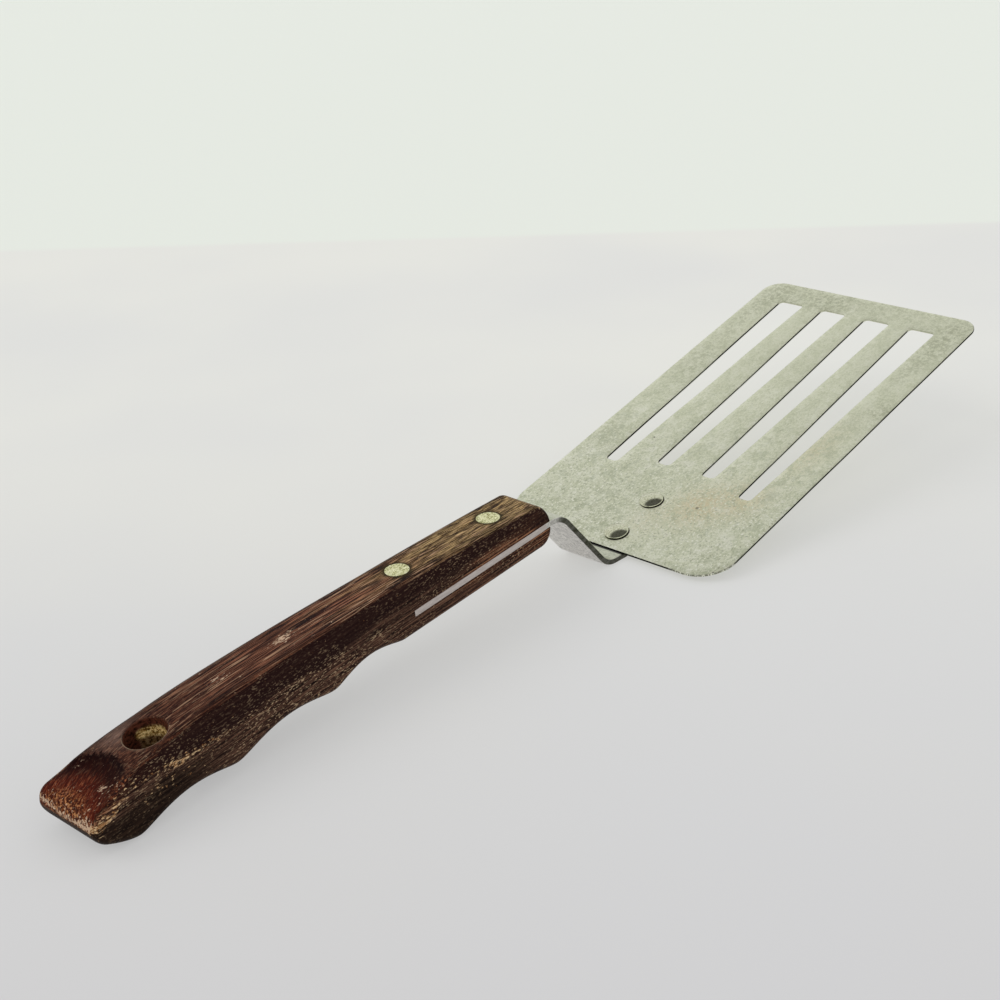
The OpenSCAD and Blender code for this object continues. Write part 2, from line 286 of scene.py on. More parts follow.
class Value:
    """A number, vector or colour that a node gives."""

    def __init__(self, tree: Nodes, socket: bpy.types.NodeSocket) -> None:
        """Keep the socket and the tree that it belongs to."""
        self.tree, self.socket = tree, socket

    def __add__(self, other: Value | float) -> Value:
        """The sum."""
        return self.tree.math("ADD", self, other)

    def __sub__(self, other: Value | float) -> Value:
        """The difference."""
        return self.tree.math("SUBTRACT", self, other)

    def __mul__(self, other: Value | float) -> Value:
        """The product."""
        return self.tree.math("MULTIPLY", self, other)

    __rmul__ = __mul__

    def __abs__(self) -> Value:
        """The value without its sign."""
        return self.tree.math("ABSOLUTE", self)

    def larger(self, other: Value) -> Value:
        """This value or another, whichever is larger."""
        return self.tree.math("MAXIMUM", self, other)

    def span(self, low: float, high: float, to_low: float = 0, to_high: float = 1) -> Value:
        """The value carried smoothly from one span to another, clamped at both ends."""
        return self.tree.value("ShaderNodeMapRange", self, low, high, to_low, to_high,
                               interpolation_type="SMOOTHSTEP")

    def ramp(self, places: Sizes, colours: Tones) -> Value:
        """A colour looked up between colours that stand at rising places."""
        made = self.tree.value("ShaderNodeValToRGB", self)
        line = made.socket.node.color_ramp.elements
        while len(line) < len(places):
            line.new(0.5)
        for element, place, colour in zip(line, places, colours):
            element.position = place
            element.color = (*linear(colour), 1)
        return made

    def coat(self, *layers: tuple[Value, Value | str]) -> Value:
        """This colour with layers of (share, colour) laid on it in turn."""
        made = self
        for share, colour in layers:
            made = self.tree.mix(share, made, colour)
        return made


class Nodes:
    """Short ways to add and join the nodes of one tree."""

    def __init__(self, tree: bpy.types.NodeTree) -> None:
        """Start with the tree emptied."""
        self.nodes, self.links = tree.nodes, tree.links
        self.nodes.clear()

    def put(self, socket: bpy.types.NodeSocket, given: object) -> None:
        """Join a socket to a value, or set it to a number, a vector or a colour's code."""
        if isinstance(given, Value):
            self.links.new(given.socket, socket)
        else:
            socket.default_value = (*linear(given), 1) if isinstance(given, str) else given

    def value(self, kind: str, *inputs: object, output: int | str = 0, named: dict[str, object] | None = None,
              **settings: object) -> Value:
        """One output of a new node.

        Args:
            kind: the node's type.
            inputs: what its inputs get, in their order; None leaves one as it is.
            output: the output's number or name.
            named: what further inputs get, by name.
            settings: the node's own settings.

        Returns:
            The output's value.
        """
        made = self.nodes.new(kind)
        for key, setting in settings.items():
            setattr(made, key, setting)
        for socket, given in zip(made.inputs, inputs):
            if given is not None:
                self.put(socket, given)
        for name, given in (named or {}).items():
            self.put(made.inputs[name], given)
        return Value(self, made.outputs[output])

    def math(self, operation: str, *inputs: Value | float) -> Value:
        """One sum of one or two values."""
        return self.value("ShaderNodeMath", *inputs, operation=operation)

    def away(self, ahead: Value, aside: Value) -> Value:
        """How far a place is from a point, from its two distances at right angles."""
        return self.math("SQRT", ahead * ahead + aside * aside)

    def mix(self, share: Value, a: Value | str, b: Value | str) -> Value:
        """Colour b laid on colour a by a share."""
        return self.value("ShaderNodeMix", share, *[None] * 5, a, b, output=2, data_type="RGBA")


class Recipe(Nodes):
    """The nodes of one material."""

    def __init__(self, name: str, placing: Placing | None = None) -> None:
        """Start a material that lies in a plain frame, in millimetres, or in the object's own, in metres."""
        self.material = bpy.data.materials.new(name)
        self.material.use_nodes = True
        super().__init__(self.material.node_tree)
        self.at = self.value("ShaderNodeTexCoord", output="Object")
        if placing is not None:
            origin, turn = tuple(c * MM for c in placing.origin), (0, -math.radians(placing.rise), 0)
            self.at = self.value("ShaderNodeMapping", self.at, origin, turn, (MM, MM, MM), vector_type="TEXTURE")

    def parts(self) -> tuple[Value, ...]:
        """The place's three parts."""
        return tuple(Value(self, part) for part in self.value("ShaderNodeSeparateXYZ", self.at).socket.node.outputs)

    def mark(self, mark: Mark) -> Value:
        """A value that the mesh carries."""
        return self.value("ShaderNodeAttribute", attribute_name=mark.value, output="Fac")

    def noise(self, scale: float | Triple, detail: float, roughness: float = 0.55, distortion: float = 0,
              shift: Triple = (0, 0, 0), turn: float = 0) -> Value:
        """Noise between 0 and 1.

        Args:
            scale: how many waves there are to a unit, or the same for each axis.
            detail: how many finer layers it has.
            roughness: how strong the finer layers are.
            distortion: how much it is swirled.
            shift: how far the noise is moved, in waves.
            turn: how far the place is turned about Z first, in degrees.

        Returns:
            The noise.
        """
        at = self.at
        if turn:
            at = self.value("ShaderNodeMapping", at, None, (0, 0, math.radians(turn)), vector_type="POINT")
        if isinstance(scale, tuple):
            at, scale = self.value("ShaderNodeVectorMath", at, scale, shift, operation="MULTIPLY_ADD"), 1
        named = {"Scale": scale, "Detail": detail, "Roughness": roughness, "Distortion": distortion}
        return self.value("ShaderNodeTexNoise", at, named=named)

    def bump(self, height: Value, strength: float, distance: float) -> Value:
        """A normal roughened by a height."""
        return self.value("ShaderNodeBump", named={"Strength": strength, "Distance": distance, "Height": height})

    def finish(self, **sockets: object) -> bpy.types.Material:
        """Make the surface with its sockets, named with _ for a space, and give the material."""
        shader = self.nodes.new("ShaderNodeBsdfPrincipled")
        self.links.new(shader.outputs[0], self.nodes.new("ShaderNodeOutputMaterial").inputs[0])
        for key, given in sockets.items():
            self.put(shader.inputs[key.replace("_", " ")], given)
        return self.material


@dataclass(frozen=True)
class Finish:
    """What each finish starts from: the plain frame that its pattern lies in."""

    placing: Placing


@dataclass(frozen=True)
class BladeFinish(Finish):
    """Thin satin steel gone dull: grey-green, finely mottled, flecked and lightly scratched, with painted shade and
    glints.
    """

    rivets: Sizes
    skin: Tones = ("#d0d4b7", "#e1e3c9", "#eeefdb")
    dull: str = "#969978"
    warm: str = "#ded0a8"
    cloud_dark: str = "#bac0a4"
    cloud_pale: str = "#f4f3e4"
    fleck_pale: str = "#f6f6e8"
    fleck_dark: str = "#9ea082"
    pit: str = "#605e4a"
    # painted shade under the near side of each rivet's head
    head_shade: str = "#0a0805"
    # painted shade on the cut edge, paler below, and painted glints at its near corners
    edge: str = "#060503"
    edge_near_shade: str = "#4e5044"
    edge_low: str = "#b0b2a6"
    glint: str = "#f4f4e6"

    def make(self) -> bpy.types.Material:
        """Write the material."""
        r = Recipe("blade_steel", self.placing)
        x, y, up = r.parts()
        aside = abs(y)
        mottle, grain = r.noise(0.9, 5, 0.75, 0.3), r.noise((1.5, 3.2, 1), 3, 0.65)
        cloud, fleck = r.noise(0.2, 4, 0.65, 0.6), r.noise(1.4, 2, 0.6)
        pit = r.noise((0.33, 0.33, 0.33), 1, 0.5, shift=(10.23, 2.31, 0))
        mixed = 0.3 * r.noise((0.16, 0.22, 1), 4, 0.7, 0.5) + (0.3 * mottle + 0.4 * grain)
        # the cut edge is painted shade: black at its top and over the strip, paler below, with painted glints at the
        # near corners
        over = aside.span(8.1, 7.5) * x.span(4, 2)
        ends = x.span(126.6, 128.2) * aside.span(31.5, 30.5)
        corner = x.span(11, 7) * aside.span(22, 27)
        rim = r.mix(x.span(2, 12), self.edge_near_shade, self.edge_low).coat(
            (over.larger(up.span(0.09, 0.28)), self.edge), (corner * grain.span(0.50, 0.56), self.glint))
        cut = r.mark(Mark.EDGE).span(0.1, 0.6) * ends.span(0, 1, 1, 0.2) * corner.span(0, 1, 1, 0.62)
        # clouds and flecks are stronger near the handle, and painted shade lies under the near side of each rivet's
        # head
        handled, busy = x.span(90, 40, 0.3), x.span(60, 25, 0.35)
        head_shade = (r.away(x - (place - 0.14), y + 0.32).span(3.42, 3.56, 0.97, 0) for place in self.rivets)
        colour = mixed.ramp((0.42, 0.5, 0.58), self.skin).coat(
            (r.mark(Mark.STAIN) * mottle.span(0.34, 0.58) * 0.8, self.warm),
            (r.mark(Mark.WORN) * mottle.span(0.56, 0.42, 0.15) * 0.75, self.dull),
            (x.span(50, 110, 0, 0.4), self.skin[1]),
            (cloud.span(0.48, 0.36) * handled * 0.4, self.cloud_dark),
            (cloud.span(0.55, 0.68) * handled * 0.5, self.cloud_pale),
            (fleck.span(0.58, 0.66) * busy, self.fleck_pale),
            (fleck.span(0.40, 0.33) * busy * 0.6, self.fleck_dark),
            (pit.span(0.20, 0.18, 0, 0.65), self.pit),
            *((share, self.head_shade) for share in head_shade),
            (cut, rim))
        height = 0.3 * r.noise((0.05, 2.6, 1), 2, 0.5, 0.3) + 0.2 * r.noise((1.9, 0.06, 1), 2, 0.5, 0.5, (7, 3, 0))
        return r.finish(Base_Color=colour, Metallic=1, Normal=r.bump(0.5 * fleck + height, 0.35, 0.00006),
                        Roughness=mottle.span(0.35, 0.65, 0.54, 0.44) + fleck.span(0.3, 0.7, 0, 0.08))


@dataclass(frozen=True)
class StripFinish(Finish):
    """Rolled strip steel: grey with fine lengthwise lines, dark on its cut sides outside the wood, with painted
    shadow and reflection.
    """

    face: Tones = ("#b0b29e", "#ccceba")
    under: Tones = ("#c8c5c2", "#f0ede9")
    speck: str = "#929286"
    side: str = "#3c3d2f"
    shadow_band: str = "#0a0906"
    flush: Tones = ("#cec5c0", "#b8aea9")

    def make(self) -> bpy.types.Material:
        """Write the material."""
        r = Recipe("strip_steel", self.placing)
        lines, cloud = r.noise((0.10, 2.2, 0.10), 3, 0.6), r.noise(0.7, 5, 0.75)
        mixed = 0.15 * lines + 0.85 * cloud
        # painted reflection of the table: the underside paler and lavender, the top greener
        under, face = (mixed.ramp((0.40, 0.58), tones) for tones in (self.under, self.face))
        side = r.mark(Mark.EDGE).span(0, 1)
        streaks = r.noise((0.325, 1.3, 3.25), 4, 0.6).span(0.35, 0.7)
        colour = under.coat(
            (r.mark(Mark.UPWARD), face),
            (r.noise(1.6, 3, 0.65).span(0.44, 0.36, 0, 0.7), self.speck),
            (side * r.noise((0.5, 1, 1.4), 3, 0.6).span(0.3, 0.7, 0.85), self.side),
            # painted shadow behind the blade's near edge and along the sides' top corners
            (r.mark(Mark.SHADE) * 0.95, self.shadow_band),
            (r.mark(Mark.INSIDE).span(0.4, 0.6), r.mix(streaks, *self.flush)))
        return r.finish(Base_Color=colour, Metallic=1, Normal=r.bump(lines + 0.6 * cloud, 0.3, 0.00005),
                        Roughness=cloud.span(0.3, 0.7, 0.36, 0.48) + 0.15 * side)


class Wood(Recipe):
    """The wood's nodes, with the patterns and marks that its layers share."""

    def __init__(self, placing: Placing) -> None:
        """Make the grain."""
        super().__init__("dark_wood", placing)
        self.x, self.y, _ = self.parts()
        self.back = self.x * -1
        self.upward, self.olive, self.brink = self.mark(Mark.UPWARD), self.mark(Mark.OLIVE), self.mark(Mark.BRINK)
        self.figure = self.noise((0.012, 0.20, 0.24), 3, 0.55, 0.6)
        self.lines = self.noise((0.035, 2.9, 2.9), 3, 0.6, 0.2)
        self.fibre = self.noise((0.09, 4.2, 4.2), 2, 0.6, shift=(3, 9, 4))
        self.grain = 0.5 * self.lines + 0.5 * self.fibre
        self.drift = self.back + self.figure.span(0.3, 0.7, -18, 18)
        self.past = self.mark(Mark.FACET) + self.lines.span(0.35, 0.65, -0.03, 0.03)
        self.shade = self.mark(Mark.SHADE) + (0.5 * self.figure + 0.5 * self.lines).span(0.4, 0.6, -0.6, 0.6)
        self.facing = (self.upward + self.lines.span(0.35, 0.65, -0.06, 0.06)).span(0.80, 0.985)
        self.spots = self.noise((0.8, 1.7, 1.7), 3, 0.7, shift=(2, 3, 1))

    def pores(self) -> Value:
        """Where long pores are filled: pale lines, mostly on the top."""
        pore = self.noise((0.06, 2.2, 2.2), 2, 0.5, shift=(11, 5, 2))
        return (pore.span(0.595, 0.65) * self.figure.span(0.38, 0.6, 0.35) * self.facing
                * self.past.span(0, 0.06, 1, 0.2) * self.back.span(95, 130, 0.85, 0.35))

    def flecks(self) -> Value:
        """Where the short flecks are: in patches, mostly on the side."""
        dash = self.noise((1, 3, 3), 2, 0.6, shift=(5, 1, 7))
        patch = self.noise((0.05, 0.17, 0.17), 2).span(0.36, 0.60)
        return (dash.span(0.575, 0.625) * (0.8 * patch + 0.2) * self.facing.span(0, 1, 0.85, 0.22)
                * self.shade.span(0.9, 0.2, 0.4) * self.olive.span(0, 1, 1, 0.25) * self.past.span(0, 0.06, 1, 0.25))

    def ring(self, place: float) -> Value:
        """How strongly the stain round one rivet shows: most at its rim, fading over a millimetre."""
        far = self.away(self.x + place, self.y) + self.fibre.span(0.35, 0.65, -0.25, 0.25)
        return far.span(3.35, 4.5, 0.9, 0)


@dataclass(frozen=True)
class WoodFinish(Finish):
    """Dark hardwood with fine lined grain, pale pores, rubbed corners and rivet stains, painted shade on black
    shoulders and painted light.

    A colour of three goes from the grain's dark through its middle to its pale.
    """

    rivets: Sizes
    brown: Tones = ("#2a1b0f", "#6a5232", "#c2a474")
    red: Tones = ("#1c0b09", "#3e2118", "#96644c")
    side: Tones = ("#160a08", "#38251e", "#684c3c")
    warm: Tones = ("#220f0a", "#4c2a1c", "#9c6c4e")
    border: Tones = ("#1e0a08", "#4a2016", "#aa6842")
    gold: Tones = ("#402c12", "#aa8242", "#ffe09c")
    olive: Tones = ("#140b08", "#2e2119")
    dim: Tones = ("#22100a", "#5c3224")
    facet_shade: Tones = ("#0e0304", "#260b07", "#501a0d", "#623018")
    stroke_dark: str = "#180605"
    stroke_pale: str = "#ae6846"
    crumb_dark: str = "#260e09"
    crumb_pale: str = "#ba8454"
    # painted sheen
    back_red: str = "#301610"
    sheen: str = "#866c60"
    # painted shade: the black under the shoulder
    black: str = "#1f0f0e"
    ochre: str = "#8c5c32"
    tan: str = "#debe92"
    pore: str = "#b89476"
    fleck: str = "#ac9274"
    scuff: str = "#c4a88e"
    lip: str = "#9e8870"
    stain: str = "#2e2612"

    def top(self, r: Wood) -> Value:
        """The top: brown at the front, red behind, with the butt's facet let in."""
        stops = (0.44, 0.495, 0.555)
        brown, red = (r.grain.ramp(stops, tones) for tones in (self.brown, self.red))
        dark = r.noise((0.03, 1.1, 1.1), 2, 0.5, shift=(8, 1, 3))
        return brown.coat(
            (r.drift.span(28, 80), red),
            (r.drift.span(84, 112, 0, 0.55), self.back_red),
            (dark.span(0.46, 0.34, 0, 0.55), self.red[0]),
            # painted sheen on the flat top above the facet's arc
            (r.olive * r.upward * r.lines.span(0.3, 0.7, 0.6, 0.8), self.sheen),
            # painted shade along the top's edges
            (r.brink * r.lines.span(0.36, 0.6, 0.9, 0.45), self.side[0]),
            (r.past.span(0, 0.05), self.facet(r)))

    def facet(self, r: Wood) -> Value:
        """The butt's facet, with painted shade: black at its arc and redder behind, with the rasp's fine strokes and
        crumbs of wear.
        """
        strokes = r.noise((0.42, 3.1, 0.5), 3, 0.65, shift=(4, 2, 6), turn=-24.5)
        crumbs = r.noise((1.6, 1.6, 1.6), 3, 0.7, shift=(5, 3, 9))
        return r.past.ramp((0.02, 0.30, 0.64, 1), self.facet_shade).coat(
            (strokes.span(0.50, 0.38, 0, 0.6), self.stroke_dark),
            (strokes.span(0.55, 0.62) * r.past.span(0.2, 0.9, 0.04, 0.55), self.stroke_pale),
            (crumbs.span(0.51, 0.44) * r.past.span(0.45, 0.9, 0, 0.85), self.crumb_dark),
            (crumbs.span(0.555, 0.60) * r.past.span(0.6, 0.98, 0, 0.85), self.crumb_pale),
            (r.y.span(-5, -8.5) * r.past.span(0.45, 0.05) * 0.9, crumbs.ramp((0.42, 0.50, 0.60), self.border)))

    def low(self, r: Wood) -> Value:
        """The side: warm at the front, painted shade black under the shoulder and along the top's edges, olive grey
        low at the butt.
        """
        warm = r.drift.span(30, 4, 0, 0.75) * r.fibre.span(0.42, 0.58, 0.35)
        warm = warm.larger(r.back.span(127, 134, 0, 0.85) * r.upward.span(0.02, 0.5))
        return r.grain.ramp((0.41, 0.50, 0.60), self.side).coat(
            (warm, r.grain.ramp((0.42, 0.50, 0.58), self.warm)),
            (r.olive * 0.95, r.grain.ramp((0.42, 0.62), self.olive)),
            (r.brink * 0.85, self.side[0]),
            (r.shade.span(0, 1, 0, 0.9), self.black))

    def make(self) -> bpy.types.Material:
        """Write the material."""
        r = Wood(self.placing)
        flecks = r.flecks()
        rub = (0.26 * r.mark(Mark.WORN) + r.spots).span(0.66, 0.76)
        rubbed = r.mix(r.fibre.span(0.42, 0.58), self.ochre, self.tan).coat((r.facing, self.scuff))
        # inside the hole it is dim, and golden where the light gets in
        dim, gold = r.spots.ramp((0.38, 0.60), self.dim), r.spots.ramp((0.36, 0.47, 0.57), self.gold)
        colour = self.low(r).coat(
            (r.facing, self.top(r)),
            (r.pores(), self.pore),
            (flecks, self.fleck),
            (rub * 0.92, rubbed),
            # painted highlight: the pale rim on the hole's near side
            (r.mark(Mark.EDGE) * r.spots.span(0.35, 0.5, 0.6, 0.95), self.lip),
            *((r.ring(place), self.stain) for place in self.rivets),
            (r.mark(Mark.INSIDE), dim.coat((r.mark(Mark.STAIN).span(0.25, 0.75), gold))))
        return r.finish(Base_Color=colour, Metallic=0, Specular_IOR_Level=0.02,
                        Roughness=r.grain.span(0.38, 0.62, 0.36, 0.50) + 0.2 * flecks + 0.15 * rub,
                        Normal=r.bump(r.grain + (0.35 * rub - 0.4 * flecks), 0.6, 0.00014))


@dataclass(frozen=True)
class BrassFinish(Finish):
    """Worn pale brass with a speckled skin."""

    skin: Tones = ("#7c7842", "#c8c68e", "#f0eec8")
    edge: str = "#60582c"

    def make(self) -> bpy.types.Material:
        """Write the material."""
        r = Recipe("rivet_brass", self.placing)
        speck = r.noise(3.2, 3, 0.65)
        colour = (0.6 * speck + 0.4 * r.noise(0.8, 3, 0.6)).ramp((0.38, 0.47, 0.58), self.skin)
        colour = colour.coat((r.mark(Mark.EDGE).span(0.3, 1, 0, 0.7), self.edge))
        return r.finish(Base_Color=colour, Metallic=1, Roughness=speck.span(0.3, 0.7, 0.52, 0.38),
                        Normal=r.bump(speck, 0.3, 0.00006))


@dataclass(frozen=True)
class HeadFinish(Finish):
    """The blade rivets' smoother steel, with painted shade where the head meets the sheet."""

    skin: Tones = ("#a4a488", "#c6c7af")
    head_shade: str = "#0e0c09"

    def make(self) -> bpy.types.Material:
        """Write the material."""
        r = Recipe("rivet_steel", self.placing)
        speck = r.noise(1.8, 3, 0.6)
        colour = speck.ramp((0.34, 0.62), self.skin).coat((r.mark(Mark.EDGE).span(0.4, 0.95), self.head_shade))
        return r.finish(Base_Color=colour, Metallic=1, Roughness=speck.span(0.3, 0.7, 0.16, 0.10),
                        Normal=r.bump(speck, 0.2, 0.00005))


# ------------------------------------------------------------ sub-assemblies


@dataclass
class Handle:
    """The wooden handle; s runs back from its front and z from the strip's middle, in millimetres."""

    length: float = 146.8
    rise: float = 5.75
    strip_width: float = 15.3
    butt_width: float = 20.8
    front_top: float = 5.8
    crown_top: float = 9.3
    butt_drop: float = 6.2
    front_bottom: float = 5.9
    heel_bottom: float = 8.0
    butt_bottom: float = 3.0
    groove_depth: float = 2.4
    top_edge_front: float = 2.1
    top_edge_back: float = 3.6
    top_edge_butt: float = 1.5
    bottom_edge: float = 2.3
    front_round: float = 3.2
    butt_round: float = 3.0
    butt_side_round: float = 1.5
    slot_half: float = 0.875
    slot_end: float = 49.55
    slot_fade: float = 40.0
    slot_limit: float = 0.15
    hole_from_butt: float = 23.3
    hole_radius: float = 5.0
    hole_fillet: float = 0.45
    hole_reach: float = 8.5
    facet_start: float = 131.0
    facet_bow: float = 0.06
    scoop: float = 0.75
    scoop_run: float = 4.2
    scoop_end: float = 136.0
    grips: Sizes = (0.362, 0.524, 0.731, 0.924)
    growth: Sizes = (0.0, 0.24, 0.64, 1.0)
    crown_share: float = 0.59
    rise_power: float = 1.7
    drop_power: float = 3.2
    heel_power: float = 1.5
    flare_share: float = 0.36
    flare_power: float = 1.2
    back_edge_share: float = 0.82
    turn_power: float = 1.5
    top_from: float = 0.8
    least_height: float = 0.5
    facet_delay: float = 0.4
    shade_fade: float = 0.14
    front_wear: float = 0.28
    front_wear_width: float = 0.25
    brink_width: float = 1.6
    front_brink: float = 1.5
    edge_limit: float = 0.45
    least_edge: float = 0.05
    ridge_blunt: float = 0.2
    across: int = 12
    corner_steps: int = 14
    shade_limit: Table = ((0, 0.50), (8, 0.31), (30, 0.30), (55, 0.32), (80, 0.48), (100, 0.42), (118, 0.34),
                          (130, 0.14), (147, -0.1))
    rub_height: Table = ((98, 2.4), (106, 2.8), (117, 3.4), (123.6, 4.1), (130.5, 5), (136.5, 5.2), (139.3, 3.7),
                         (142.3, 2.2), (145, 1.2))
    rub_force: Table = ((96, 0), (106, 0.3), (114, 0.45), (124, 0.8), (130, 0.3), (134, 0.35), (138, 0.62),
                        (143, 0.72), (146, 0.6))
    rub_width: Table = ((98, 0.9), (125, 1.2), (133, 0.8), (140, 1.4))
    rub_below: Spots = ((126, 1.2, 12, 2.6, 0.25),)
    scuffs: Spots = ((83, 0.2, 4.2, 1.7, 0.95), (102.7, 0.5, 2.4, 1.3, 0.9), (138.8, -4.2, 1.8, 1.5, 0.66))
    sheens: Spots = ((127, 7, 5, 5, 1),)
    hole: float = field(init=False)
    placing: Placing = field(init=False)

    def __post_init__(self) -> None:
        """Work out where the hole is."""
        self.hole = self.length - self.hole_from_butt

    @staticmethod
    def end_pull(d: Array, r: float) -> Array:
        """How far a corner of radius r pulls the outline in at a distance d from the end."""
        return sag(r, r - np.clip(d, 0, r))

    def ends_pull(self, s: Array) -> Array:
        """The pull of both rounded ends."""
        return self.end_pull(s, self.front_round) + self.end_pull(self.length - s, self.butt_round)

    def top(self, s: Array) -> Array:
        """Height of the top: a power curve up to the crown, another down to the butt."""
        at = s / self.length
        before = share_of((self.crown_share - at) / self.crown_share)
        after = share_of((at - self.crown_share) / (1 - self.crown_share))
        rise = (self.crown_top - self.front_top) * before**self.rise_power
        return self.crown_top - rise - self.butt_drop * after**self.drop_power - self.ends_pull(s)

    def wave(self, share: Array) -> Array:
        """A half wave with blunted cusps, 0 at both ends and 1 in the middle."""
        wave = np.sin(math.pi * share_of(share))
        full = math.hypot(1, self.ridge_blunt) - self.ridge_blunt
        return (np.sqrt(wave**2 + self.ridge_blunt**2) - self.ridge_blunt) / full

    def bottom(self, s: Array) -> Array:
        """Height of the bottom: straight to the first grip ridge, three grooves, then up to the butt."""
        at = s / self.length
        ridges = self.front_bottom + (self.heel_bottom - self.front_bottom) * np.asarray(self.growth)
        depth = np.interp(at, (0, *self.grips), (self.front_bottom, *ridges))
        groove = sum(self.wave((at - a) / (b - a)) * ((at >= a) & (at < b))
                     for a, b in zip(self.grips[:-1], self.grips[1:]))
        last = self.grips[-1]
        lift = share_of((at - last) / (1 - last)) ** self.heel_power * (self.heel_bottom - self.butt_bottom)
        return self.groove_depth * groove + lift - depth + self.ends_pull(s)

    def half(self, s: Array) -> Array:
        """Half the width: the strip's at the front, flaring by a power curve to the butt."""
        share = share_of((s / self.length - self.flare_share) / (1 - self.flare_share))
        wide = self.strip_width + (self.butt_width - self.strip_width) * share**self.flare_power
        return wide / 2 - self.end_pull(self.length - s, self.butt_side_round)

    def edges(self, s: Array) -> tuple[Array, Array]:
        """Radii of the top and the bottom edges."""
        upper = along(s / self.length, ((0, self.top_edge_front), (self.back_edge_share, self.top_edge_back),
                                        (1, self.top_edge_butt)))
        limit = self.edge_limit * (self.top(s) - self.bottom(s))
        return np.minimum(upper, limit), np.minimum(self.bottom_edge, limit)

    def reach(self, s: Array, z: Array) -> Array:
        """Half the width at a height z: full, less a quarter circle at the top and the bottom edge."""
        upper, lower = self.edges(s)
        over = np.clip(z - (self.top(s) - upper), 0, upper)
        below = np.clip((self.bottom(s) + lower) - z, 0, lower)
        return self.half(s) - sag(upper, over) - sag(lower, below)

    def fine(self) -> Array:
        """Distances from end to end in fine steps, for finding what reaches furthest."""
        return np.linspace(0, self.length, 4001)

    def lift(self) -> float:
        """Height of the strip's middle at the front that lets the heel touch the table."""
        s = self.fine()
        a = math.radians(self.rise)
        return float(np.max(s * math.sin(a) - self.bottom(s) * math.cos(a)))

    def stations(self) -> dict[str, Array]:
        """Distances of the sections, in runs: over the slot, along the grip, round the hole and at the butt."""
        turn = np.sin(quarter(9))
        near, far = self.hole - self.hole_reach, self.hole + self.hole_reach
        front = np.r_[self.front_round * (1 - turn[::-1]), np.linspace(self.front_round, self.slot_end, 44)[1:]]
        butt = np.linspace(far, self.length - self.butt_round, 14)
        return {"slotted": front, "grip": np.linspace(self.slot_end, near, 72), "hole": np.linspace(near, far, 18),
                "butt": np.r_[butt, self.length - self.butt_round * (1 - turn[1:])]}

    def levels(self, s: Array) -> tuple[Array, Array]:
        """Heights of the two lines along each side between which the strip shows, drawn in toward the butt."""
        top, bottom = self.top(s), self.bottom(s)
        leave = smooth(s, self.slot_end, self.slot_end + self.slot_fade)
        middle = leave * (top + bottom) / 2
        half = np.minimum(self.slot_half, self.slot_limit * (top - bottom)) * leave + self.slot_half * (1 - leave)
        return middle - half, middle + half

    def band(self, s: Array, name: str, side: int) -> Array:
        """One band of the surface along the stations.

        A side band runs in height by a quarter sine, so that its points crowd into the rounded
        edge, and its width follows from the height.

        Args:
            s: the stations.
            name: upper, slot or lower side, or the top or bottom flat.
            side: +1 for the left, -1 for the right.

        Returns:
            A grid of points of shape (stations, steps, 3).
        """
        low, high = (v[:, None] for v in self.levels(s))
        column = s[:, None]
        top, bottom = self.top(column), self.bottom(column)
        if name in ("top", "bottom"):
            z = top if name == "top" else bottom
            y = self.reach(column, z) * np.linspace(1, -1, self.across + 1)
        else:
            share = np.sin(quarter(self.corner_steps))
            z = {"upper": high + (top - high) * share, "lower": low + (bottom - low) * share,
                 "slot": low + (high - low) * np.linspace(0, 1, 3)}[name]
            y = side * self.reach(column, z)
        return joined(-column, y, z)

    def turned_up(self, s: Array, z: Array) -> Array:
        """0 below the rounded top edge, rising over it to 1 on the top."""
        upper, _ = self.edges(s)
        return share_of((z - self.top(s) + upper) / np.maximum(upper, self.least_edge))

    def marks(self, points: Array) -> dict[str, Array]:
        """What the finish needs at each point: how far it faces up, shade, facet, olive and rubbed places."""
        s, y, z = -points[..., 0], points[..., 1], points[..., 2]
        top, bottom = self.top(s), self.bottom(s)
        upward = self.turned_up(s, z) ** self.turn_power
        on_top = upward > self.top_from
        down = share_of((top - z) / np.maximum(top - bottom, self.least_height))
        start = self.facet_start + self.facet_delay
        past = (s - start - self.facet_bow * y**2) / (self.length - start)
        corner = self.front_wear * bell(upward, self.top_from, self.front_wear_width) * smooth(12 - s, 0, 10)
        worn = self.rubbed(s, y, z) + blots(s, y, self.scuffs) * on_top + corner
        # painted shade along the top's edges, stronger on the right side, and over the front end
        inward = self.half(s) - self.edges(s)[0] - np.abs(y)
        brink = smooth(self.brink_width - inward, 0, self.brink_width) * np.where(y < 0, 0.85, 0.6) * on_top
        # olive grey low on the side near the butt; on the flat top, a painted sheen above the facet instead
        olive = smooth(s, 106, 124) * smooth(down + 0.16 * smooth(s, 120, 129), 0.38, 0.64)
        # shade sets where the side is painted dark under the shoulder
        return {"upward": upward, "shade": (along(s, self.shade_limit) - down) / self.shade_fade + 0.5,
                "brink": np.maximum(brink, 0.9 * smooth(self.front_brink - s, 0, self.front_brink)),
                "worn": share_of(worn), "facet": share_of(past) * (upward > 0),
                "olive": np.where(on_top, blots(s, y, self.sheens), olive)}

    def rubbed(self, s: Array, y: Array, z: Array) -> Array:
        """How worn the butt is: along a wandering line on its right side and round its end's upper edge."""
        line = along(s, self.rub_force) * bell(z, along(s, self.rub_height), along(s, self.rub_width))
        line = smooth(-y, 4, 7) * (line + blots(s, z, self.rub_below))
        left = self.length - s
        level = 0.8 + 0.14 * np.maximum(y - 2, 0)
        band = bell(z, level, 0.5) * smooth(-left, -3.2, -1.4) * (0.95 - 0.02 * y)
        low = 0.1 * smooth(-left, -2, -0.6) * smooth(z, -3, 0)
        fringe = 0.22 * smooth(-left, -8, -1.5) * smooth(z, 0.6, 1.6)
        return line + band + low + fringe

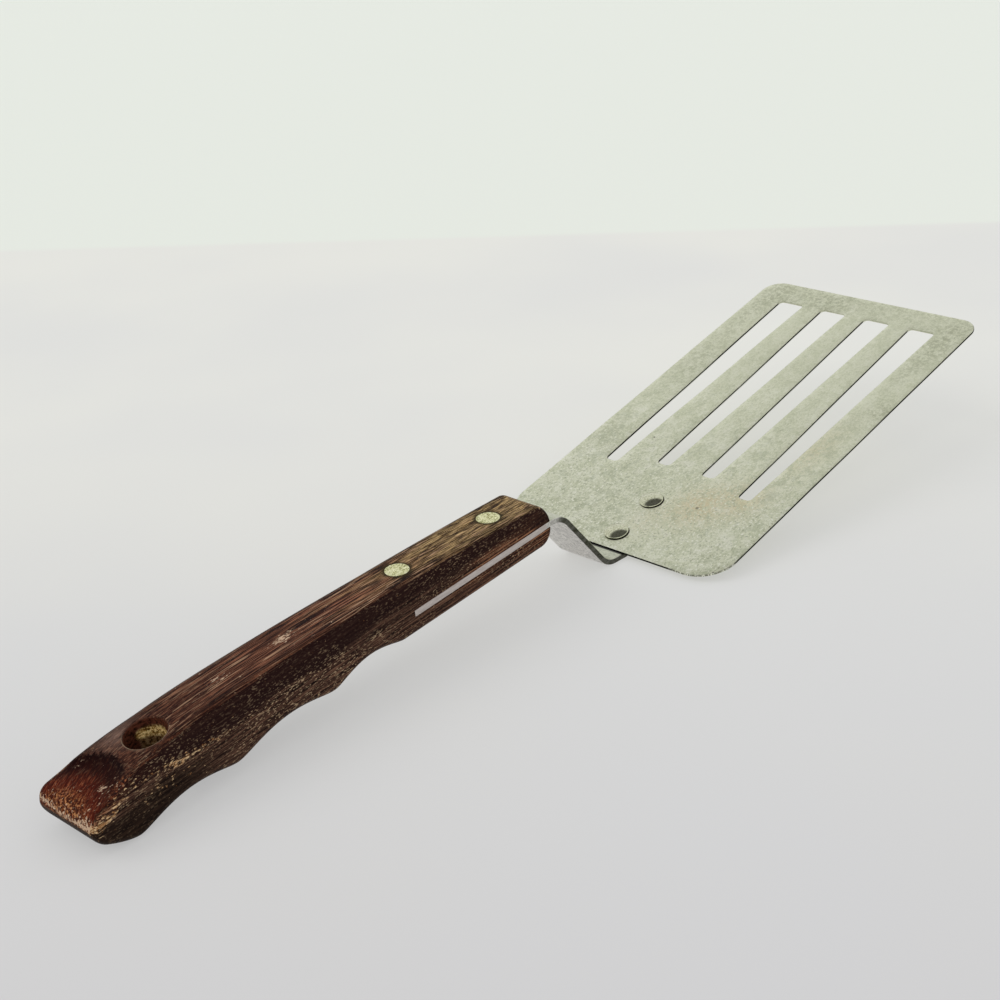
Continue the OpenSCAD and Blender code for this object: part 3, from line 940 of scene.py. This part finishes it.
    def scooped(self, points: Array) -> Array:
        """Points with the butt's facet let in: past a bowed line the top dips quickly and comes back slowly."""
        s, y, z = -points[..., 0], points[..., 1], points[..., 2]
        past = s - self.facet_start - self.facet_bow * y**2
        dip = smooth(past, 0, self.scoop_run) * (1 - smooth(s, self.scoop_end, self.length - 0.5))
        out = points.copy()
        out[..., 2] = z - self.scoop * dip * self.turned_up(s, z) ** 2
        return out

    def eye(self, work: Patchwork, s: Array) -> None:
        """Add the hanging hole with the flats round it.

        Above and below, rays run from a circle round the hole to the border of the flat, each
        point of the border with its own ray, and heights follow the flat. A quarter circle rolls
        each rim over, and straight lines join the two rims.
        """
        centre = np.array([-self.hole, 0])
        reach = self.hole_radius + self.hole_fillet
        share = np.linspace(1, 0, 7)[:, None, None]
        roll = quarter(5)[1:, None]
        rims = []
        for name, height, sign in (("top", self.top, -1), ("bottom", self.bottom, 1)):
            flat = self.band(s, name, 1)
            border = np.concatenate([flat[0, :-1], flat[:-1, -1], flat[-1, :0:-1], flat[:0:-1, 0]])[:, :2]
            away = border - centre
            ray = away / np.linalg.norm(away, axis=1, keepdims=True)
            circle = centre + ray * reach
            ground = circle * (1 - share) + border * share
            sheet = np.concatenate([ground, height(-ground[..., :1])], axis=-1)
            rim = centre + ray * (reach - self.hole_fillet * np.sin(roll))[..., None]
            fall = height(-circle[:, 0]) + sign * self.hole_fillet * (1 - np.cos(roll))
            lip = np.concatenate([sheet[-1:], np.concatenate([rim, fall[..., None]], axis=-1)])
            edge = np.linspace(0, 1, len(lip))[:, None]
            # painted highlight on the rim's near side, and painted shade as the lip grows dim into the hole
            near = share_of(0.35 - 0.6 * ray.sum(axis=1))
            lit = along(edge, ((0, 0.15), (0.2, 1), (0.4, 0.3), (1, 0))) * near
            work.grid(sheet, closed=True, **self.marks(sheet))
            work.grid(lip, closed=True, **{**self.marks(lip), "inside": edge**2, "upward": 0.9, "edge": lit,
                                           "brink": 0, "worn": 0})
            rims.append((lip[-1], np.arctan2(ray[:, 1], ray[:, 0])))
        (upper, angle), (lower, other) = rims
        even = np.linspace(-math.pi, math.pi, 181)
        foot = np.interp(angle, even, np.interp(even, *self.round_trip(other, lower[:, 2])))
        share = np.linspace(0, 1, 9)[:, None]
        height = upper[:, 2] * (1 - share) + foot * share
        wall = joined(upper[:, 0], upper[:, 1], height)
        gaps = np.linalg.norm(wall[-1, :, None, :2] - lower[None, :, :2], axis=2)
        wall[-1] = lower[gaps.argmin(axis=1)]  # on the lower rim's own points, so that the seam closes
        # painted light: a gold pool on the far wall of the hole, carried by the same mark as the blade's stains
        depth = upper[:, 2] - wall[..., 2]
        lit = smooth(depth, 1.2, 2.2) * (1 - 0.6 * smooth(depth, 3, 4.2))
        work.grid(wall, closed=True, inside=1, stain=lit * smooth(np.cos(angle - math.radians(40)), 0.5, 0.88))

    @staticmethod
    def round_trip(angle: Array, value: Array) -> tuple[Array, Array]:
        """Angles in rising order with their values, repeated a turn before and after."""
        order = np.argsort(angle)
        a, v = angle[order], value[order]
        return np.r_[a - FULL_TURN, a, a + FULL_TURN], np.r_[v, v, v]

    def build(self) -> Piece:
        """Make the handle: bands along its sides, its flats, the sawn slot and the hanging hole."""
        work = Patchwork()
        runs = self.stations()
        for run, s in runs.items():
            names = ("upper", "lower") if run == "slotted" else ("upper", "lower", "slot")
            flats = () if run == "hole" else (("top", 1), ("bottom", 1))
            for name, side in (*((name, side) for name in names for side in (1, -1)), *flats):
                points = self.band(s, name, side)
                work.grid(self.scooped(points), **self.marks(points))
            if run == "hole":
                self.eye(work, s)
        s = runs["slotted"]
        front, back = s[:1], s[-1:]
        for name, flat in (("upper", "top"), ("lower", "bottom")):
            work.grid(np.concatenate([self.band(s, name, side)[:, :1] for side in (1, -1)], axis=1))
            face = np.concatenate([self.band(front, name, 1)[0], self.band(front, flat, 1)[0, 1:-1],
                                   self.band(front, name, -1)[0, ::-1]])
            work.sheet(face, **self.marks(face))
        work.sheet(np.concatenate([self.band(back, "slot", 1)[0], self.band(back, "slot", -1)[0, ::-1]]))
        turn = (("slot", 1, 1), ("upper", 1, 1), ("top", 1, 1), ("upper", -1, -1), ("slot", -1, -1),
                ("lower", -1, 1), ("bottom", 1, -1), ("lower", 1, -1))
        butt = np.concatenate([self.band(runs["butt"][-1:], name, side)[0, ::way][:-1] for name, side, way in turn])
        work.sheet(butt, **self.marks(butt))
        return work.piece("wooden_handle", self.placing, Slot.HANDLE, ("handle",), crease=50)


@dataclass
class Strip:
    """The cranked strip: a rounded bar carried along straights and bends."""

    width: float = 15.3
    thick: float = 1.65
    bend: float = 7.2
    leg_slope: float = 50.0
    foot_flat: float = 4.1
    lap: float = 29.0
    tang_show: float = 0.8
    tang: float = 49.5
    seat_gap: float = 0.5
    edge: float = 0.28
    flush_edge: float = 0.04
    flush_in: float = 0.05
    seat_lean: float = 0.3
    shadow_band: Sizes = (0.9, 0.35)
    side_share: float = 0.25
    top_share: float = 0.6
    side_fade: Sizes = (1.5, 6)
    corner_fade: Sizes = (6, 9)
    rise: float = 5.75
    tilt: float = 13.6
    leg: float = field(init=False)
    foot_x: float = field(init=False)
    handle_front: float = field(init=False)

    def walk(self) -> tuple[Array, Array, Array]:
        """The middle line from the lap's far end to the tang's end.

        Each step is a straight or a bend of constant radius: along a bend the line moves by the
        radius times the change of sine and cosine of its heading.

        Returns:
            Distances toward -X from the lap's end, heights from it, and headings in degrees.
        """
        steps = ((self.lap, 0), (self.bend, self.tilt), (self.foot_flat, 0), (self.bend, self.leg_slope),
                 (self.leg, 0), (self.bend, -(self.leg_slope + self.rise)), (self.tang_show, 0), (self.tang, 0))
        m, z, heading = [np.zeros(1)], [np.zeros(1)], [np.full(1, -self.tilt)]
        for size, turn in steps:
            h0 = math.radians(heading[-1][-1])
            if turn == 0:
                t = np.linspace(0, size, 42 if size == self.foot_flat else max(3, int(size / 2.5)))[1:]
                move, climb, h = t * math.cos(h0), t * math.sin(h0), np.full(len(t), h0)
            else:
                h = h0 + np.radians(np.linspace(0, turn, 29)[1:])
                up = math.copysign(size, turn)
                move, climb = up * (np.sin(h) - math.sin(h0)), -up * (np.cos(h) - math.cos(h0))
            m.append(m[-1][-1] + move)
            z.append(z[-1][-1] + climb)
            heading.append(np.degrees(h))
        return np.concatenate(m), np.concatenate(z), np.concatenate(heading)

    def build(self, start: tuple[float, float], edge: tuple[float, float]) -> Piece:
        """Make the strip.

        The section is a rectangle whose corners are quarter circles, and it stands square to the
        middle line all along it. Where the blade's near edge reaches back over the foot, the top is
        let down to the plane of the blade's underside.

        Args:
            start: X and Z of the lap's far end, in millimetres.
            edge: X and Z of the lower corner of the blade's near edge.

        Returns:
            The new piece.
        """
        m, z, heading = self.walk()
        x, z = start[0] - m, start[1] + z
        inside = x < self.handle_front - self.flush_in
        radius = np.where(inside, self.flush_edge, self.edge)[:, None]
        angles = (quarter(4) + QUARTER * np.arange(4)[:, None]).ravel()
        y = np.repeat((1, -1, -1, 1), 5) * (self.width / 2 - radius) + radius * np.cos(angles)
        n = np.repeat((1, 1, -1, -1), 5) * (self.thick / 2 - radius) + radius * np.sin(angles)
        h = np.radians(heading)[:, None]
        points = joined(x[:, None] + n * np.sin(h), y, z[:, None] + n * np.cos(h))
        behind = points[..., 0] - edge[0]
        seat = edge[1] + behind * math.tan(math.radians(self.tilt)) - self.seat_lean * (self.thick / 2 - n)
        seated = (behind > -self.seat_gap) & (n > 0)
        points[..., 2] = np.where(seated, np.minimum(points[..., 2], seat), points[..., 2])
        out = x - self.handle_front
        side = np.abs(y) > self.width / 2 - self.side_share * self.edge
        over = n > self.thick / 2 - self.top_share * radius
        # painted shadow: a dark band on the foot behind the blade's near edge, and a dark line along each side's top
        # corner outside the wood
        shadow_band = smooth(behind, *(-self.seat_gap - reach for reach in self.shadow_band)) * over
        corner = side * over * smooth(out, *self.corner_fade)[:, None]
        work = Patchwork()
        # upward marks the top face, which keeps the greener tones against the underside's painted reflection
        work.grid(points, closed=True, edge=side * (0.35 + 0.65 * smooth(out, *self.side_fade))[:, None],
                  inside=side & inside[:, None], upward=over, shade=np.maximum(shadow_band, corner))
        for end in (0, -1):
            work.sheet(points[end], edge=1)
        return work.piece("cranked_strip", None, Slot.SHANK, ("shank",))


@dataclass
class Blade:
    """The slotted blade; u runs from its near edge, v to the left, n up from its underside."""

    width: float = 76.0
    length: float = 139.0
    sheet: float = 0.6
    far_corner: float = 6.0
    near_corner: float = 10.5
    pitch: float = 15.8
    slot_shares: Sizes = (-1.5, -0.5, 0.5, 1.5)
    outer_start: float = 34.0
    setback: float = 4.5
    end_margin: float = 10.0
    near_width: float = 4.15
    far_width: float = 8.65
    slot_corner: float = 1.3
    round_over: float = 0.13
    wave: float = 0.14
    cell: float = 2.4
    clear: float = 0.55
    warm: Spots = ((26, -14, 9, 7, 1), (34, -24, 8, 6, 0.8), (15, -4, 8, 5, 0.3), (62, -28, 12, 5, 0.5))
    dull: Spots = ((133, 14, 6, 9, 1), (133, 30, 7, 7, 0.7), (121, 33, 14, 4, 0.7), (122, -32, 11, 5, 0.9),
                   (131, -34, 7, 5, 0.8), (135, -8, 4, 18, 0.35), (139, 0, 2, 40, 0.5), (92, 32, 14, 5, 0.5),
                   (86, -36, 5, 3, 0.8), (106, -31, 8, 3, 0.5), (45, 33, 9, 5, 0.3), (8, -30, 6, 6, 0.35),
                   (10, 16, 14, 16, 0.3))
    placing: Placing = field(init=False)

    def outline(self, *arcs: tuple[float, float, float, float, float, int]) -> Array:
        """A closed outline of arcs, with points along its straights no further apart than a cell.

        Args:
            arcs: each arc's centre, radius, start angle and turn in degrees, and number of steps.

        Returns:
            One point of (u, v) in each row.
        """
        parts = []
        for u, v, r, start, turn, steps in arcs:
            a = np.radians(start + turn * np.linspace(0, 1, steps + 1))
            parts.append(joined(u + r * np.cos(a), v + r * np.sin(a)))
        points = np.concatenate(parts)
        following = np.roll(points, -1, axis=0)
        gaps = np.linalg.norm(following - points, axis=1)
        return np.concatenate([a + (b - a) * np.linspace(0, 1, max(1, int(gap / self.cell)), endpoint=False)[:, None]
                               for a, b, gap in zip(points, following, gaps) if gap > TINY])

    def outer(self) -> Array:
        """The blade's outline: a rectangle with two radii."""
        near, far, half, end = self.near_corner, self.far_corner, self.width / 2, self.length - self.far_corner
        return self.outline((near, half - near, near, 90, 90, 26), (near, near - half, near, 180, 90, 26),
                            (end, far - half, far, 270, 90, 22), (end, half - far, far, 0, 90, 22))

    def slot(self, share: float) -> Array:
        """One slot's outline: a taper with small corners, the inner slots starting further on."""
        start = self.outer_start + (self.setback if abs(share) < 1 else 0)
        end = self.length - self.end_margin
        slope = (self.far_width - self.near_width) / (end - self.outer_start)
        lean, r = math.degrees(math.atan(slope / 2)), self.slot_corner
        near = (self.near_width + slope * (start - self.outer_start)) / 2 - r
        far = self.far_width / 2 - r
        less, more = 90 - lean, 90 + lean
        outline = self.outline((start + r, -near, r, 180, less, 10), (end - r, -far, r, 180 + less, more, 10),
                               (end - r, far, r, 0, more, 10), (start + r, near, r, more, less, 10))
        return outline + (0, share * self.pitch)

    @staticmethod
    def outward(outline: Array) -> Array:
        """Unit normals to the right of an outline's own direction."""
        step = np.roll(outline, -1, axis=0) - np.roll(outline, 1, axis=0)
        normal = joined(step[:, 1], -step[:, 0])
        return normal / np.linalg.norm(normal, axis=1, keepdims=True)

    @staticmethod
    def within(points: Array, outline: Array) -> Array:
        """Which points lie inside an outline, by counting the edges that a ray to +u crosses."""
        a, b = outline, np.roll(outline, -1, axis=0)
        u, v = points[:, :1], points[:, 1:]
        spans = (a[:, 1] > v) != (b[:, 1] > v)
        rise = np.where(b[:, 1] == a[:, 1], 1e-12, b[:, 1] - a[:, 1])
        crossing = a[:, 0] + (v - a[:, 1]) * (b[:, 0] - a[:, 0]) / rise
        return (spans & (u < crossing)).sum(axis=1) % 2 == 1

    def metal(self, points: Array, borders: list[Array]) -> Array:
        """Which points lie inside the first border and outside the others."""
        inside = [self.within(points, border) for border in borders]
        return inside[0] & ~np.any(inside[1:], axis=0)

    def ripple(self, points: Array) -> Array:
        """How far the worn sheet waves out of flat: slow sines that vanish at both ends."""
        u, v = points[..., 0], points[..., 1]
        hold = np.sin(math.pi * share_of(u / self.length)) ** 2
        return self.wave * hold * (np.sin(u / 17 + 0.5) * np.cos(v / 21) + 0.6 * np.sin(u / 9 + v / 13))

    def marks(self, points: Array) -> dict[str, Array]:
        """Soft patches: warm stains and places rubbed dark."""
        u, v = points[..., 0], points[..., 1]
        return {"stain": share_of(blots(u, v, self.warm)), "worn": share_of(blots(u, v, self.dull))}

    def build(self) -> Piece:
        """Make the blade: a rolled rim along each outline and two faces triangulated between the rims."""
        e, t = self.round_over, self.sheet
        turn = quarter(4)
        inset = np.r_[e * (1 - np.sin(turn)), e * (1 - np.cos(turn))]
        height = np.r_[t - e * (1 - np.cos(turn)), e * (1 - np.sin(turn))]
        wall = np.r_[np.linspace(0, 1, 5) ** 0.7, np.linspace(1, 0, 5) ** 0.7]
        work = Patchwork()
        outlines = [self.outer(), *map(self.slot, self.slot_shares)]
        borders = []
        for outline in outlines:
            normal = self.outward(outline) * (1 if borders else -1)
            ground = outline + normal * inset[:, None, None]
            up = height[:, None] + self.ripple(outline)
            work.grid(np.concatenate([ground, up[..., None]], axis=-1), closed=True, edge=wall[:, None],
                      **self.marks(outline))
            borders.append(ground[0])
        flat, triangles = self.cover(borders)
        lift = self.ripple(flat)
        source = np.concatenate(outlines)
        lift[: len(source)] = self.ripple(source)
        for level, order in ((t, (0, 1, 2)), (0, (0, 2, 1))):
            work.add(np.column_stack([flat, level + lift]), triangles[:, order], **self.marks(flat))
        return work.piece("slotted_blade", self.placing, Slot.BLADE, ("blade",))

    def cover(self, borders: list[Array]) -> tuple[Array, Array]:
        """Triangles that fill the metal between the borders, with an even spread of points inside.

        Args:
            borders: the outer border and then the slots' borders.

        Returns:
            Points, the borders' first and in their order, and triangles of their indices.
        """
        u, v = np.meshgrid(np.arange(self.cell, self.length, self.cell),
                           np.arange((self.cell - self.width) / 2, self.width / 2, self.cell), indexing="ij")
        v = v + self.cell / 2 * (np.arange(v.shape[0])[:, None] % 2)
        inner = joined(u.ravel(), v.ravel())
        inner = inner[self.metal(inner, borders)]
        rim = np.concatenate(borders)
        gap = np.sqrt(((inner[:, None] - rim[None]) ** 2).sum(axis=2)).min(axis=1)
        points = np.concatenate([rim, inner[gap > self.clear * self.cell]])
        edges, first = [], 0
        for border in borders:
            index = first + np.arange(len(border))
            edges += joined(index, np.roll(index, -1)).tolist()
            first += len(border)
        found = delaunay_2d_cdt([Vector(p) for p in points.tolist()], edges, [], 1, TINY)
        flat, triangles = np.array([tuple(p) for p in found[0]]), np.array(found[2])
        if len(flat) != len(points) or np.abs(flat - points).max() > 1e-3:
            LOG.warning("the blade's cover moved its points")
        return flat, triangles[self.metal(flat[triangles].mean(axis=1), borders)]


@dataclass
class Turned:
    """Pieces turned about an upright axis of a plain frame."""

    steps: int = 72

    def ring(self, profile: Array) -> Array:
        """Carry (radius, height) points round the axis."""
        a = np.linspace(0, FULL_TURN, self.steps, endpoint=False)
        r, z = profile[:, :1], profile[:, 1:]
        return joined(r * np.cos(a), r * np.sin(a), z)


@dataclass
class BladeRivet(Turned):
    """A domed rivet through blade and strip, with a low set end."""

    head: float = 3.42
    height: float = 1.1
    shank: float = 2.0
    tail: float = 2.7
    tail_height: float = 0.5
    sheet: float = 0.6
    strip: float = 1.65
    roll: float = 0.30
    lift: float = 0.22
    steep: float = math.radians(27)
    fall: float = 2.1

    def build(self, name: str, node: str, u: float, placing: Placing) -> Piece:
        """Turn a dome that falls by a power curve, with a thin undercut rim, the shank and the set end."""
        low, under = self.sheet + self.lift, -self.strip
        share = np.sin(quarter(21))
        inner = self.head - self.roll * (1 - math.sin(self.steep))
        foot = low + self.roll * math.cos(self.steep)
        dome = foot + (self.sheet + self.height - foot) * (1 - share**self.fall)
        tilt = quarter(6, self.steep)[1:]
        rim = joined(self.head - self.roll + self.roll * np.sin(tilt), low + self.roll * np.cos(tilt))
        profile = np.array([*zip(inner * share, dome), *rim, (self.head - 0.1, self.sheet + 0.03),
                            (self.head - 0.3, self.sheet + 0.01), (self.shank, self.sheet), (self.shank, under),
                            (self.tail - 0.25, under), (self.tail, under - 0.12), (self.tail - 0.08, under - 0.34),
                            (self.tail - 0.45, under - self.tail_height), (0, under - self.tail_height)])
        mark = np.zeros((len(profile), 1))
        # painted shade under the head's rim: the mark runs from the rim's lowest point in to the shank's top
        mark[27:32, 0] = (0.3, 1, 1, 1, 1)  # from the rim's lowest point in to the shank's top
        points = self.ring(profile)
        points[..., 0] += u
        work = Patchwork()
        work.grid(points, closed=True, edge=mark)
        return work.piece(name, placing, Slot.BLADE_RIVETS, (node,), crease=55)


@dataclass
class HandleRivet(Turned):
    """A two-part rivet through the handle whose worn heads follow the wood."""

    head: float = 3.1
    head_thick: float = 1.3
    tube: float = 2.2
    pin: float = 1.3
    gap: float = 0.02
    proud: float = 0.05

    def build(self, end: str, place: str, s: float, handle: Handle) -> Piece:
        """Turn one half: a face that follows the wood and swells slightly, its rim, and tube or pin.

        Args:
            end: tube or pin, the upper and the lower half.
            place: front or rear.
            s: how far behind the handle's front it is.
            handle: the handle it is set in.

        Returns:
            The new piece.
        """
        upper = end == "tube"
        surface, across, sign = (handle.top, handle.bottom, 1) if upper else (handle.bottom, handle.top, -1)
        middle, other = (float(height(np.array([s]))[0]) for height in (surface, across))
        r = self.head * np.sin(quarter(11))
        r = np.r_[r[:-1], self.head - 0.05, self.head, self.head]
        face = self.ring(joined(r, 0 * r))
        swell = self.proud * (1 - (r / self.head) ** 4) + 0.02
        swell[-2:] = (-0.03, -0.5)  # the rim turns down into the wood
        face[..., 2] = surface(s - face[..., 0]) + sign * swell[:, None]
        shoulder, foot = middle - sign * self.head_thick, other + sign * self.head_thick
        stem = self.tube if upper else self.pin
        body = [(self.head, shoulder), (stem, shoulder), (stem, foot)]
        if upper:
            bore = self.pin + self.gap
            body += [(bore, foot), (bore, shoulder), (0, shoulder)]
        else:
            body += [(0, foot)]
        points = np.concatenate([face, self.ring(np.array(body))])
        points[..., 0] -= s
        mark = np.r_[np.zeros(len(r) - 3), 0.3, 1, 1, np.ones(len(body))]
        work = Patchwork()
        work.grid(points, closed=True, edge=mark[:, None])
        return work.piece(f"brass_{end}_{place}", handle.placing, Slot.HANDLE_RIVETS, (f"rivet_{end}_{place}",),
                          crease=50)


@dataclass
class Turner:
    """The whole turner: its sub-assemblies, where they lie and their finishes."""

    blade: Blade = field(default_factory=Blade)
    strip: Strip = field(default_factory=Strip)
    handle: Handle = field(default_factory=Handle)
    blade_rivets: Sizes = (6.7, 22.7)
    handle_rivets: Sizes = (14.2, 46.5)
    reach_back: float = 1.5

    def lay_out(self) -> None:
        """Work out where each plain frame lies, from the foot on the table and the heel of the butt."""
        strip, blade, handle = self.strip, self.blade, self.handle
        rise, slope, tilt = (math.radians(a) for a in (handle.rise, strip.leg_slope, strip.tilt))
        lift = handle.lift()
        half = strip.thick / 2
        bends = strip.bend * (1 - 2 * math.cos(slope) + math.cos(rise))
        strip.leg = (lift + strip.tang_show * math.sin(rise) - half - bends) / math.sin(slope)
        front = (strip.foot_flat / 2 + strip.bend * (2 * math.sin(slope) + math.sin(rise))
                 + strip.leg * math.cos(slope) + strip.tang_show * math.cos(rise))
        s = handle.fine()
        back = float(np.max(s * math.cos(rise) + handle.top(s) * math.sin(rise)))
        corner = strip.foot_flat / 2 + strip.bend * math.tan(tilt / 2)
        ahead = corner + (blade.length - self.reach_back) * math.cos(tilt) - half * math.sin(tilt)
        strip.foot_x = (front + back - ahead) / 2
        strip.handle_front = strip.foot_x - front
        handle.placing = Placing((strip.handle_front, 0, lift), handle.rise)
        base = Placing((strip.foot_x + corner, 0, half), strip.tilt)
        blade.placing = Placing(base.spot(-self.reach_back, half), strip.tilt)

    def build(self) -> dict[Slot, list[Piece]]:
        """Make every piece, by the slot it takes its finish from."""
        self.lay_out()
        blade, strip, handle = self.blade, self.strip, self.handle
        reach = self.reach_back + strip.bend * math.tan(math.radians(strip.tilt) / 2) + strip.lap
        end = blade.placing.spot(reach, -strip.thick / 2)
        rivet = BladeRivet(sheet=blade.sheet, strip=strip.thick)
        return {
            Slot.BLADE: [blade.build()], Slot.SHANK: [strip.build(end[::2], blade.placing.origin[::2])],
            Slot.HANDLE: [handle.build()],
            Slot.BLADE_RIVETS: [rivet.build(f"blade_head_{place}", f"blade_rivet_{place}", u, blade.placing)
                                for place, u in zip(("near", "far"), self.blade_rivets)],
            Slot.HANDLE_RIVETS: [HandleRivet().build(half, place, s, handle)
                                 for place, s in zip(("front", "rear"), self.handle_rivets)
                                 for half in ("tube", "pin")]}

    def dress(self, made: dict[Slot, list[Piece]]) -> None:
        """Give each piece its finish."""
        blade, handle = self.blade.placing, self.handle.placing
        finishes = {
            Slot.BLADE: BladeFinish(blade, self.blade_rivets), Slot.SHANK: StripFinish(handle),
            Slot.HANDLE: WoodFinish(handle, self.handle_rivets),
            Slot.BLADE_RIVETS: HeadFinish(blade), Slot.HANDLE_RIVETS: BrassFinish(handle)}
        for slot, pieces in made.items():
            material = finishes[slot].make()
            for piece in pieces:
                piece.data.materials.append(material)
                LOG.info("%s wears %s", piece.name, material.name)


# ------------------------------------------------------------------- setting


@dataclass(frozen=True)
class Viewpoint:
    """The camera, at the photograph's place and angle."""

    place: Triple = (-315.384, -288.195, 218.835)
    right: Triple = (0.678903, -0.732357, -0.052384)
    down: Triple = (-0.337522, -0.247933, -0.908079)
    ahead: Triple = (0.652050, 0.634179, -0.415509)
    focal: float = 1790.46
    frame: float = 1000.0
    sensor: float = 36.0

    def build(self) -> None:
        """Make the camera and look through it."""
        data = bpy.data.cameras.new("view")
        data.sensor_width = self.sensor
        data.lens = self.focal / self.frame * self.sensor
        data.clip_start, data.clip_end = 0.01, 50
        camera = in_scene("view", data)
        axes = Matrix((self.right, [-c for c in self.down], [-c for c in self.ahead])).transposed()
        camera.matrix_world = Matrix.Translation(Vector(self.place) * MM) @ axes.to_4x4()
        bpy.context.scene.camera = camera


@dataclass(frozen=True)
class Studio:
    """A plain pale table, soft light from all round and behind on the left, and the picture settings."""

    near: str = "#cccbcd"
    far: str = "#e5e5df"
    beyond: str = "#e5e9e1"
    cloud: str = "#d2d3d7"
    across: Triple = (0.783717, 0.621118, 0)
    line: float = 0.3242
    own_tone: float = 0.61
    size: float = 9.0
    toward: Triple = (-0.95, 0.8, 1.2)
    spread: float = 45.0
    strength: float = 0.8
    behind: Triple = (-0.08, 0.92, 0.25)

    def floor(self) -> None:
        """Make the table: one sheet that grows paler away from the front as painted light, and paler still past a
        line.
        """
        mesh = bpy.data.meshes.new("table_top")
        corners = ((-1, -1), (1, -1), (1, 1), (-1, 1))
        mesh.from_pydata([(self.size * x, self.size * y, 0) for x, y in corners], [], [(0, 1, 2, 3)])
        thing = in_scene("table_top", mesh)
        r = Recipe("pale_table")
        distance = r.value("ShaderNodeVectorMath", r.at, self.across, operation="DOT_PRODUCT", output="Value")
        colour = r.mix(distance.span(-0.32, 0.20), self.near, self.far).coat(
            (r.noise(5, 3, 0.5).span(0.35, 0.65, 0, 0.3), self.cloud),
            (distance.span(self.line - 0.004, self.line + 0.004), self.beyond))
        # seen by the eye or in metal, part of the tone glows as its own painted light, so that the shadow stays
        # faint
        camera, glossy, through = (r.value("ShaderNodeLightPath", output=f"Is {ray} Ray")
                                   for ray in ("Camera", "Glossy", "Transmission"))
        seen = r.value("ShaderNodeMath", camera + glossy, through, operation="ADD", use_clamp=True) * self.own_tone
        thing.data.materials.append(r.finish(
            Base_Color=colour.coat((seen, BLACK)), Roughness=0.7, Specular_IOR_Level=0.1, Emission_Strength=1,
            Emission_Color=r.mix(seen, BLACK, colour), Normal=r.bump(r.noise(900, 2, 0.5), 0.05, 0.0001)))

    def lamp(self) -> None:
        """Make the window: one broad distant light from behind on the left."""
        data = bpy.data.lights.new("window", "SUN")
        data.angle = math.radians(self.spread)
        data.energy = self.strength
        data.color = (1, 0.99, 0.97)
        thing = in_scene("window", data)
        thing.rotation_euler = Vector(self.toward).to_track_quat("Z", "Y").to_euler()
        thing.visible_glossy = False

    def sky(self) -> None:
        """Light from all round; shiny things see a bright room with a dark ceiling in it."""
        world = bpy.data.worlds.new("studio")
        world.use_nodes = True
        tree = Nodes(world.node_tree)
        where = tree.value("ShaderNodeTexCoord", output="Generated")
        height, behind = (tree.value("ShaderNodeVectorMath", where, way, operation="DOT_PRODUCT", output="Value")
                          for way in ((0, 0, 1), self.behind))
        soft, room = behind.span(-0.8, 0.9, 1, 0.66), height.span(0.75, 0.86, 1.02, 0.14)
        shiny = tree.value("ShaderNodeLightPath", output="Is Glossy Ray")
        strength = tree.value("ShaderNodeMix", shiny, None, soft, room, data_type="FLOAT")
        light = tree.value("ShaderNodeBackground", (0.98, 0.99, 1, 1), strength)
        tree.put(tree.nodes.new("ShaderNodeOutputWorld").inputs[0], light)
        bpy.context.scene.world = world

    def build(self) -> None:
        """Make the table, the lamp, the surrounding light and the picture settings."""
        self.floor()
        self.lamp()
        self.sky()
        bpy.context.scene.view_settings.view_transform = "Standard"


def main() -> None:
    """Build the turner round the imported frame, then the camera and the studio."""
    logging.basicConfig(level=logging.INFO, format="%(name)s: %(message)s")
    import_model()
    turner = Turner()
    made = turner.build()
    turner.dress(made)
    Viewpoint().build()
    Studio().build()


if __name__ == "__main__":
    main()
